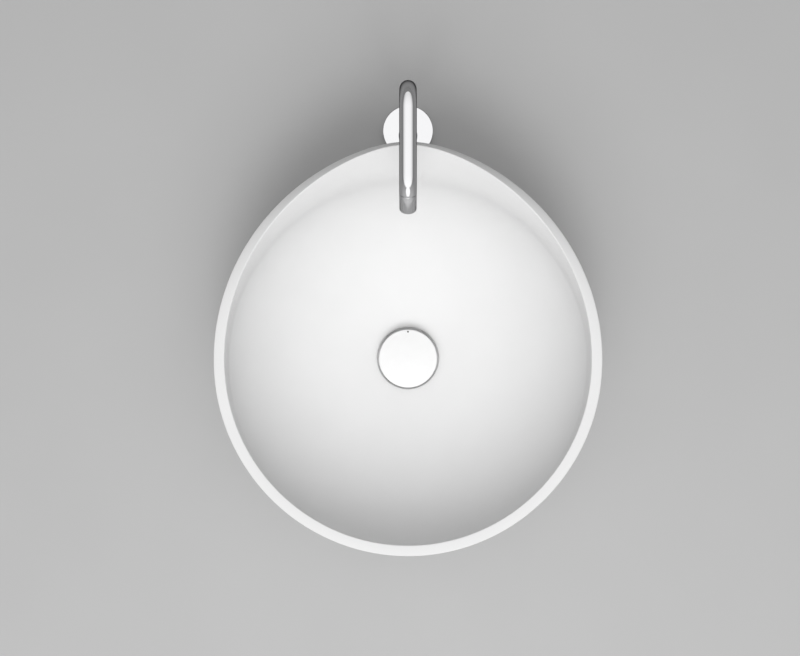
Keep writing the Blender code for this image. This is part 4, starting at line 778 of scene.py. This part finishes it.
# Tap plate: a thick round plate of chromed brass that covers the hole in the counter.
# It is turned, bored for the spout and for the control's dome, and bedded on a rubber ring.
PLATE_CENTRE = (0, 279)
RISER = (0, 272)
LEVER = (0, 294)
PIVOT_HEIGHT = 4
SOCKET_RADIUS = 9.35
SOCKET_RISE = 6
SOCKET_POINTS = 8
BOSS_RADIUS = 10.2
BOSS_TOP = 12.8
BOSS_ROOT = 5.3
RISER_BORE = 7.3
CUT_TOP = 15
CUT_END = 3
PLATE_GASKET = (27.6, 28.8, 0, 0.9)
plate_line = [(0, 10), (30.4, 10), (31, 9.4), (31, 0), (29.1, 0), (29.1, 1.2), (27.3, 1.2), (27.3, 0),
              (26.3, 0), (26.3, 5), (0, 5)]
tap_plate = turned("tap_plate_round", plate_line, 128, PLATE_CENTRE)
boss_line = [(0, BOSS_TOP), (BOSS_RADIUS, BOSS_TOP), (BOSS_RADIUS, BOSS_ROOT), (0, BOSS_ROOT)]
combine(tap_plate, turned("boss", boss_line, 64, RISER), "UNION")
bore_line = [(0, CUT_TOP), (RISER_BORE, CUT_TOP), (RISER_BORE, CUT_END), (0, CUT_END)]
combine(tap_plate, turned("riser_bore", bore_line, 90, RISER), "DIFFERENCE")
socket_arc = []
for i in range(SOCKET_POINTS + 1):
    t = asin(SOCKET_RISE / SOCKET_RADIUS) * (1 - i / SOCKET_POINTS)
    socket_arc.append((SOCKET_RADIUS * cos(t), PIVOT_HEIGHT + SOCKET_RADIUS * sin(t)))
socket_line = [(0, 12), (socket_arc[0][0], 12)] + socket_arc + [(SOCKET_RADIUS, CUT_END), (0, CUT_END)]
combine(tap_plate, turned("dome_socket", socket_line, 64, LEVER), "DIFFERENCE")
fit(tap_plate, chrome, "fixed_set", "tap_escutcheon")
plate_gasket = turned("tap_plate_gasket", ring(*PLATE_GASKET), 96, PLATE_CENTRE, edge=0.2)
fit(plate_gasket, seal_rubber, "fixed_set", "escutcheon_gasket")


# Valve body: a brass plug through the counter, with the spout's socket and the control's pocket.
# It is turned and bored from bar, threaded outside, and clamped from below by a washer of rubber, one
# of steel and a nut. Two brass tails are screwed into it for the supply hoses.
tap_brass = machined_brass("turned_brass_tap", PLATE_CENTRE)
VALVE_RADIUS = 26
VALVE_ROOT = 25.2
VALVE_TOP = 4.7
VALVE_END = -58
VALVE_THREAD_TOP = -29
VALVE_THREAD_BOTTOM = -57.4
VALVE_THREAD_PITCH = 2
# Radius, bottom, top and place of each bore: the socket, the pocket, two inlets and three ports
VALVE_BORES = ((7.3, -28, 6, 0, 272), (9.3, -13, 6, 0, 294),
               (4.2, -60, -24, -8, 294), (4.2, -60, -24, 8, 294),
               (1.5, -26, -12, -4.2, 294), (1.5, -26, -12, 4.2, 294), (1.5, -20, -12, 0, 289.8))
TAP_RUBBER = (26.3, 34, -33, -30)
TAP_STEEL = (26.3, 34, -34.8, -33.3)
TAP_NUT = (26.3, 74, -35.1, 9)
INLET_HEXAGON = (4.6, 14, -58.3, 4)
INLET_ASIDE = 8
valve_line = [(0, VALVE_TOP), (VALVE_RADIUS, VALVE_TOP), (VALVE_RADIUS, VALVE_THREAD_TOP)]
valve_line += thread(VALVE_RADIUS, VALVE_ROOT, VALVE_THREAD_TOP, VALVE_THREAD_BOTTOM, VALVE_THREAD_PITCH)
valve_line += [(VALVE_ROOT, VALVE_END), (0, VALVE_END)]
valve = turned("valve_body_turned", valve_line, 96, PLATE_CENTRE)
for radius, low, high, x, y in VALVE_BORES:
    drill_line = [(0, high), (radius, high), (radius, low), (0, low)]
    combine(valve, turned("drill", drill_line, 48, (x, y)), "DIFFERENCE")
fit(valve, tap_brass, "fixed_set", "valve_body")
tap_rubber = turned("tap_rubber_ring", ring(*TAP_RUBBER), 96, PLATE_CENTRE, edge=0.3)
fit(tap_rubber, seal_rubber, "fixed_set", "tap_rubber_washer")
tap_steel = turned("tap_steel_ring", ring(*TAP_STEEL), 96, PLATE_CENTRE, edge=0.2)
fit(tap_steel, steel, "fixed_set", "tap_steel_washer")
tap_nut = hex_nut("tap_ring_nut_brass", *TAP_NUT, PLATE_CENTRE)
fit(tap_nut, tap_brass, "fixed_set", "tap_ring_nut")
for name, node, x in (("hot_inlet_tail", "hot_inlet", -INLET_ASIDE),
                      ("cold_inlet_tail", "cold_inlet", INLET_ASIDE)):
    tail_line = [(3.9, -46), (3.9, -58.3), (5.4, -58.3), (5.4, -62.3)] + thread(5, 4.6, -62.3, -73.6, 1)
    tail_line += [(4.6, -74.3), (2.34, -74.3), (2.34, -46)]
    tail = turned(name, tail_line, 48, (x, LEVER[1]))
    hexagon = hex_nut("inlet_hexagon", *INLET_HEXAGON, (x, LEVER[1]))
    combine(tail, hexagon, "UNION")
    fit(tail, tap_brass, "fixed_set", node)


# Spout: a bent tube of chromed brass that rises behind the basin and reaches over its lip.
# The tube is drawn and bent on a former, and a short angled nozzle is soldered to its end.
TUBE_RADIUS = 8.3
TUBE_TOP = 281
BACK_BEND = 22.5
FRONT_BEND = 35
FRONT_TURN = radians(27.5)
JOINT_REACH = 102.9
NOZZLE_RADIUS = 8.15
NOZZLE_BEND = 10
NOZZLE_DROP = radians(46.5)
NOZZLE_STRAIGHT = 13
LEAD = 0.8
TUBE_FOOT = 15.6
TUBE_WALL = 1
NOZZLE_WALL = 1.4
JOINT_GAP = 0.3
PIPE_SIDES = 64
BEND_STEP = radians(3)
PIPE_EDGE = 0.3
PIPE_EDGE_SEGMENTS = 3


def start_pipe(name, radius, y, z, lean):
    """The open end ring of a pipe, facing along its first run: 0 is up, a quarter turn is forward."""
    clear_selection()
    bpy.ops.mesh.primitive_circle_add(vertices=PIPE_SIDES, radius=radius * MM)
    pipe = bpy.context.object
    pipe.name = name
    bpy.ops.object.mode_set(mode="EDIT")
    bpy.ops.transform.rotate(value=-lean, orient_axis="X", center_override=(0, 0, 0))
    bpy.ops.transform.translate(value=(0, y * MM, z * MM))
    return pipe


def run_pipe(y, z):
    """Draws the pipe straight on, by so much back and up."""
    bpy.ops.mesh.extrude_region_move(TRANSFORM_OT_translate={"value": (0, y * MM, z * MM)})


def bend_pipe(turn, y, z):
    """Bends the pipe forward and down about a point."""
    bpy.ops.mesh.spin(steps=max(2, round(turn / BEND_STEP)), angle=-turn, center=(0, y * MM, z * MM),
                      axis=(1, 0, 0))


def end_pipe(pipe, wall):
    """Faces the pipe's skin outwards, gives it its wall and breaks the sharp end edges."""
    bpy.ops.mesh.select_all(action="SELECT")
    bpy.ops.mesh.remove_doubles(threshold=MERGE)
    bpy.ops.mesh.normals_make_consistent(inside=False)
    bpy.ops.object.mode_set(mode="OBJECT")
    shell = pipe.modifiers.new("wall", "SOLIDIFY")
    shell.thickness = wall * MM
    shell.offset = -1
    shell.use_even_offset = True
    finish_modifier(pipe)
    round_edges(pipe, PIPE_EDGE, PIPE_EDGE_SEGMENTS)
    smooth(pipe)


along_y = -cos(FRONT_TURN)
along_z = -sin(FRONT_TURN)
bend_start = TUBE_TOP - BACK_BEND
front_start = RISER[1] - JOINT_REACH + LEAD * cos(FRONT_TURN) + FRONT_BEND * sin(FRONT_TURN)
tube = start_pipe("spout_tube_bent", TUBE_RADIUS, RISER[1], TUBE_FOOT, 0)
run_pipe(0, bend_start - TUBE_FOOT)
bend_pipe(pi / 2, RISER[1] - BACK_BEND, bend_start)
run_pipe(front_start - (RISER[1] - BACK_BEND), 0)
bend_pipe(FRONT_TURN, front_start, TUBE_TOP - FRONT_BEND)
run_pipe(along_y * LEAD, along_z * LEAD)
end_pipe(tube, TUBE_WALL)
fit(tube, chrome, "tap_spout", "spout_tube")

joint_y = RISER[1] - JOINT_REACH
joint_z = TUBE_TOP - FRONT_BEND * (1 - cos(FRONT_TURN)) - LEAD * sin(FRONT_TURN)
nozzle_y = joint_y + along_y * JOINT_GAP
nozzle_z = joint_z + along_z * JOINT_GAP
nozzle = start_pipe("outlet_nozzle_angled", NOZZLE_RADIUS, nozzle_y, nozzle_z, pi / 2 + FRONT_TURN)
run_pipe(along_y * LEAD, along_z * LEAD)
nozzle_y += along_y * LEAD
nozzle_z += along_z * LEAD
bend_pipe(NOZZLE_DROP - FRONT_TURN, nozzle_y + NOZZLE_BEND * sin(FRONT_TURN),
          nozzle_z - NOZZLE_BEND * cos(FRONT_TURN))
run_pipe(-NOZZLE_STRAIGHT * cos(NOZZLE_DROP), -NOZZLE_STRAIGHT * sin(NOZZLE_DROP))
end_pipe(nozzle, NOZZLE_WALL)
# Brushed chrome: the same plate as the tube's, with softer and wider reflections. Its brush lines are
# too fine to show, so only the roughness that they give is drawn.
fit(nozzle, polished_chrome("brushed_chrome_nozzle", 0.2, 0.28), "tap_spout", "outlet_nozzle")


# Spout collar: the turned and chromed brass ring round the foot of the tube. It fits over the plate's
# boss and traps the flange of a brass sleeve, which swivels with the tube on an acetal washer and is
# sealed by two O-rings.
COLLAR_NECK = 8.6
COLLAR_TOP = 19.0
COLLAR_ROUNDING = 1.5
COLLAR_RADIUS = 11.5
COLLAR_POINTS = 6
BEARING = (7.3, 10, 13.1, 13.7)
ORING_RADIUS = 6.23
ORING_WIRE = 0.62
ORING_HEIGHTS = (("upper", -8.2), ("lower", -16.2))
crown_radius = COLLAR_RADIUS - COLLAR_ROUNDING
crown_height = COLLAR_TOP - COLLAR_ROUNDING
collar_line = [(COLLAR_NECK, COLLAR_TOP), (crown_radius, COLLAR_TOP)]
collar_line += [(crown_radius + COLLAR_ROUNDING * sin(pi / 2 * i / COLLAR_POINTS),
                 crown_height + COLLAR_ROUNDING * cos(pi / 2 * i / COLLAR_POINTS))
                for i in range(1, COLLAR_POINTS + 1)]
collar_line += [(COLLAR_RADIUS, 10.5), (11.3, 10.3), (10.5, 10.3), (10.5, TUBE_FOOT),
                (COLLAR_NECK, TUBE_FOOT)]
collar = turned("spout_collar_ring", collar_line, 96, RISER)
fit(collar, chrome, "fixed_set", "spout_collar")
bearing = turned("spout_bearing_ring", ring(*BEARING), 64, RISER, edge=0.1)
fit(bearing, acetal, "fixed_set", "spout_bearing_washer")
for word, height in ORING_HEIGHTS:
    oring = turned(f"sleeve_{word}_oring", round_section(ORING_RADIUS, height, ORING_WIRE), 64, RISER)
    fit(oring, seal_rubber, "tap_spout", f"sleeve_oring_{word}")
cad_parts["swivel_sleeve"].material_slots[0].material = machined_brass("turned_brass_sleeve", RISER)


# Aerator: an insert moulded in white acetal with a square screen, held in the nozzle's mouth.
# A rubber washer seals it, and its face stands just inside the nozzle's end.
AERATOR_RADIUS = 6.45
AERATOR_BORE = 5.45
AERATOR_FACE = 0.8
AERATOR_BACK = 6.8
SCREEN_FACE = 1.0
SCREEN_BACK = 2.0
SCREEN_BARS = 9
SCREEN_BAR_WIDTH = 0.4
SCREEN_SIZE = 2.4 * AERATOR_RADIUS
SCREEN_RADIUS = AERATOR_BORE + 0.5
AERATOR_WASHER = (4.95, AERATOR_RADIUS, 7.1, 8.3)
mouth_y = (nozzle_y + NOZZLE_BEND * (sin(FRONT_TURN) - sin(NOZZLE_DROP))
           - NOZZLE_STRAIGHT * cos(NOZZLE_DROP))
mouth_z = (nozzle_z - NOZZLE_BEND * (cos(FRONT_TURN) - cos(NOZZLE_DROP))
           - NOZZLE_STRAIGHT * sin(NOZZLE_DROP))


def set_in_mouth(piece):
    """Tilts a piece that was made upright and sets it in the nozzle's mouth."""
    pick(piece)
    bpy.ops.object.mode_set(mode="EDIT")
    bpy.ops.mesh.select_all(action="SELECT")
    bpy.ops.transform.rotate(value=pi / 2 - NOZZLE_DROP, orient_axis="X", center_override=(0, 0, 0))
    bpy.ops.transform.translate(value=(0, mouth_y * MM, mouth_z * MM))
    bpy.ops.object.mode_set(mode="OBJECT")


insert = turned("aerator_insert_moulded", ring(AERATOR_BORE, AERATOR_RADIUS, AERATOR_FACE, AERATOR_BACK),
                64)
clear_selection()
bpy.ops.mesh.primitive_grid_add(x_subdivisions=SCREEN_BARS, y_subdivisions=SCREEN_BARS,
                                size=SCREEN_SIZE * MM)
screen = bpy.context.object
bpy.ops.object.mode_set(mode="EDIT")
bpy.ops.transform.translate(value=(0, 0, SCREEN_FACE * MM))
bpy.ops.mesh.inset(thickness=SCREEN_BAR_WIDTH / 2 * MM, use_individual=True)
bpy.ops.mesh.delete(type="FACE")
bpy.ops.object.mode_set(mode="OBJECT")
bars = screen.modifiers.new("bars", "SOLIDIFY")
bars.thickness = (SCREEN_BACK - SCREEN_FACE) * MM
bars.offset = 1
finish_modifier(screen)
blank_line = [(0, AERATOR_BACK), (SCREEN_RADIUS, AERATOR_BACK), (SCREEN_RADIUS, 0), (0, 0)]
blank = turned("screen_blank", blank_line, 64)
combine(screen, blank, "INTERSECT")
combine(insert, screen, "UNION")
set_in_mouth(insert)
fit(insert, acetal, "tap_spout", "aerator_insert")
washer = turned("aerator_washer_ring", ring(*AERATOR_WASHER), 64, edge=0.2)
set_in_mouth(washer)
fit(washer, seal_rubber, "tap_spout", "aerator_washer")


# Control: a joystick cartridge under the plate, with a chromed dome and pin that stand up behind the
# spout. The pin tilts for flow and turns for heat, and slides one ceramic disc over another. A moulded
# rubber seal with three ports lies under the discs.

# Lapped alumina: an off-white ground so flat that it shines, its sheen broken by a faint grain
lapped_ceramic = new_finish("lapped_alumina", "#DADAD6", 0.2)
disc_place = add_node(lapped_ceramic, "ShaderNodeTexCoord", {}, "Object")
lapping = add_node(lapped_ceramic, "ShaderNodeTexNoise", {"Vector": disc_place, "Scale": 1500, "Detail": 2})
disc_sheen = add_node(lapped_ceramic, "ShaderNodeMapRange", {0: lapping, **NOISE_SPREAD, 3: 0.15, 4: 0.3})
feed(lapped_ceramic, Roughness=disc_sheen)
for node, finish in (("cartridge_housing", acetal), ("lever_guide", acetal),
                     ("fixed_ceramic_disc", lapped_ceramic), ("moving_ceramic_disc", lapped_ceramic),
                     ("pivot_pin", steel), ("lever_spindle", steel)):
    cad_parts[node].material_slots[0].material = finish
DISC_SEAL_RADIUS = 7.7
DISC_SEAL_TOP = -10.3
DISC_SEAL_END = -12.7
DISC_SEAL_EDGE = 0.2
PORT_REACH = 4.2
seal_line = [(0, DISC_SEAL_TOP), (DISC_SEAL_RADIUS, DISC_SEAL_TOP), (DISC_SEAL_RADIUS, DISC_SEAL_END),
             (0, DISC_SEAL_END)]
port_line = [(0, -10), (1.5, -10), (1.5, -13), (0, -13)]
disc_seal = turned("disc_seal_moulded", seal_line, 64, LEVER)
for x, y in ((-PORT_REACH, 0), (PORT_REACH, 0), (0, -PORT_REACH)):
    combine(disc_seal, turned("port", port_line, 32, (x, LEVER[1] + y)), "DIFFERENCE")
round_edges(disc_seal, DISC_SEAL_EDGE)
smooth(disc_seal)
fit(disc_seal, seal_rubber, "fixed_set", "disc_seal")

DOME_RADIUS = 9
DOME_INNER_RADIUS = 7.5
DOME_START = 0.2485
DOME_REACH = radians(73)
DOME_POINTS = 14
dome_line = []
for radius, first, last in ((DOME_RADIUS, DOME_START, DOME_REACH),
                            (DOME_INNER_RADIUS, DOME_REACH, DOME_START)):
    for i in range(DOME_POINTS + 1):
        t = first + (last - first) * i / DOME_POINTS
        dome_line.append((radius * sin(t), PIVOT_HEIGHT + radius * cos(t)))
# The hole for the pin has straight sides
dome_line[-1] = (dome_line[0][0], dome_line[-1][1])
dome = turned("lever_dome_shell", dome_line, 64, LEVER)
fit(dome, chrome, "control_lever", "lever_dome")
PIN_TOP = 61.8
PIN_ROUNDING = 0.8
PIN_CROWN_RADIUS = 2.4
PIN_POINTS = 5
pin_line = [(0, PIN_TOP), (PIN_CROWN_RADIUS, PIN_TOP)]
pin_line += [(PIN_CROWN_RADIUS + PIN_ROUNDING * sin(pi / 2 * i / PIN_POINTS),
              PIN_TOP - PIN_ROUNDING + PIN_ROUNDING * cos(pi / 2 * i / PIN_POINTS))
             for i in range(1, PIN_POINTS + 1)]
pin_line += [(3.2, 13.5), (3.0, 13.3), (2.5, 13.3), (2.5, 25.8), (0, 25.8)]
lever_pin = turned("lever_pin_rod", pin_line, 48, LEVER)
fit(lever_pin, chrome, "control_lever", "lever_pin")

low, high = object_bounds()
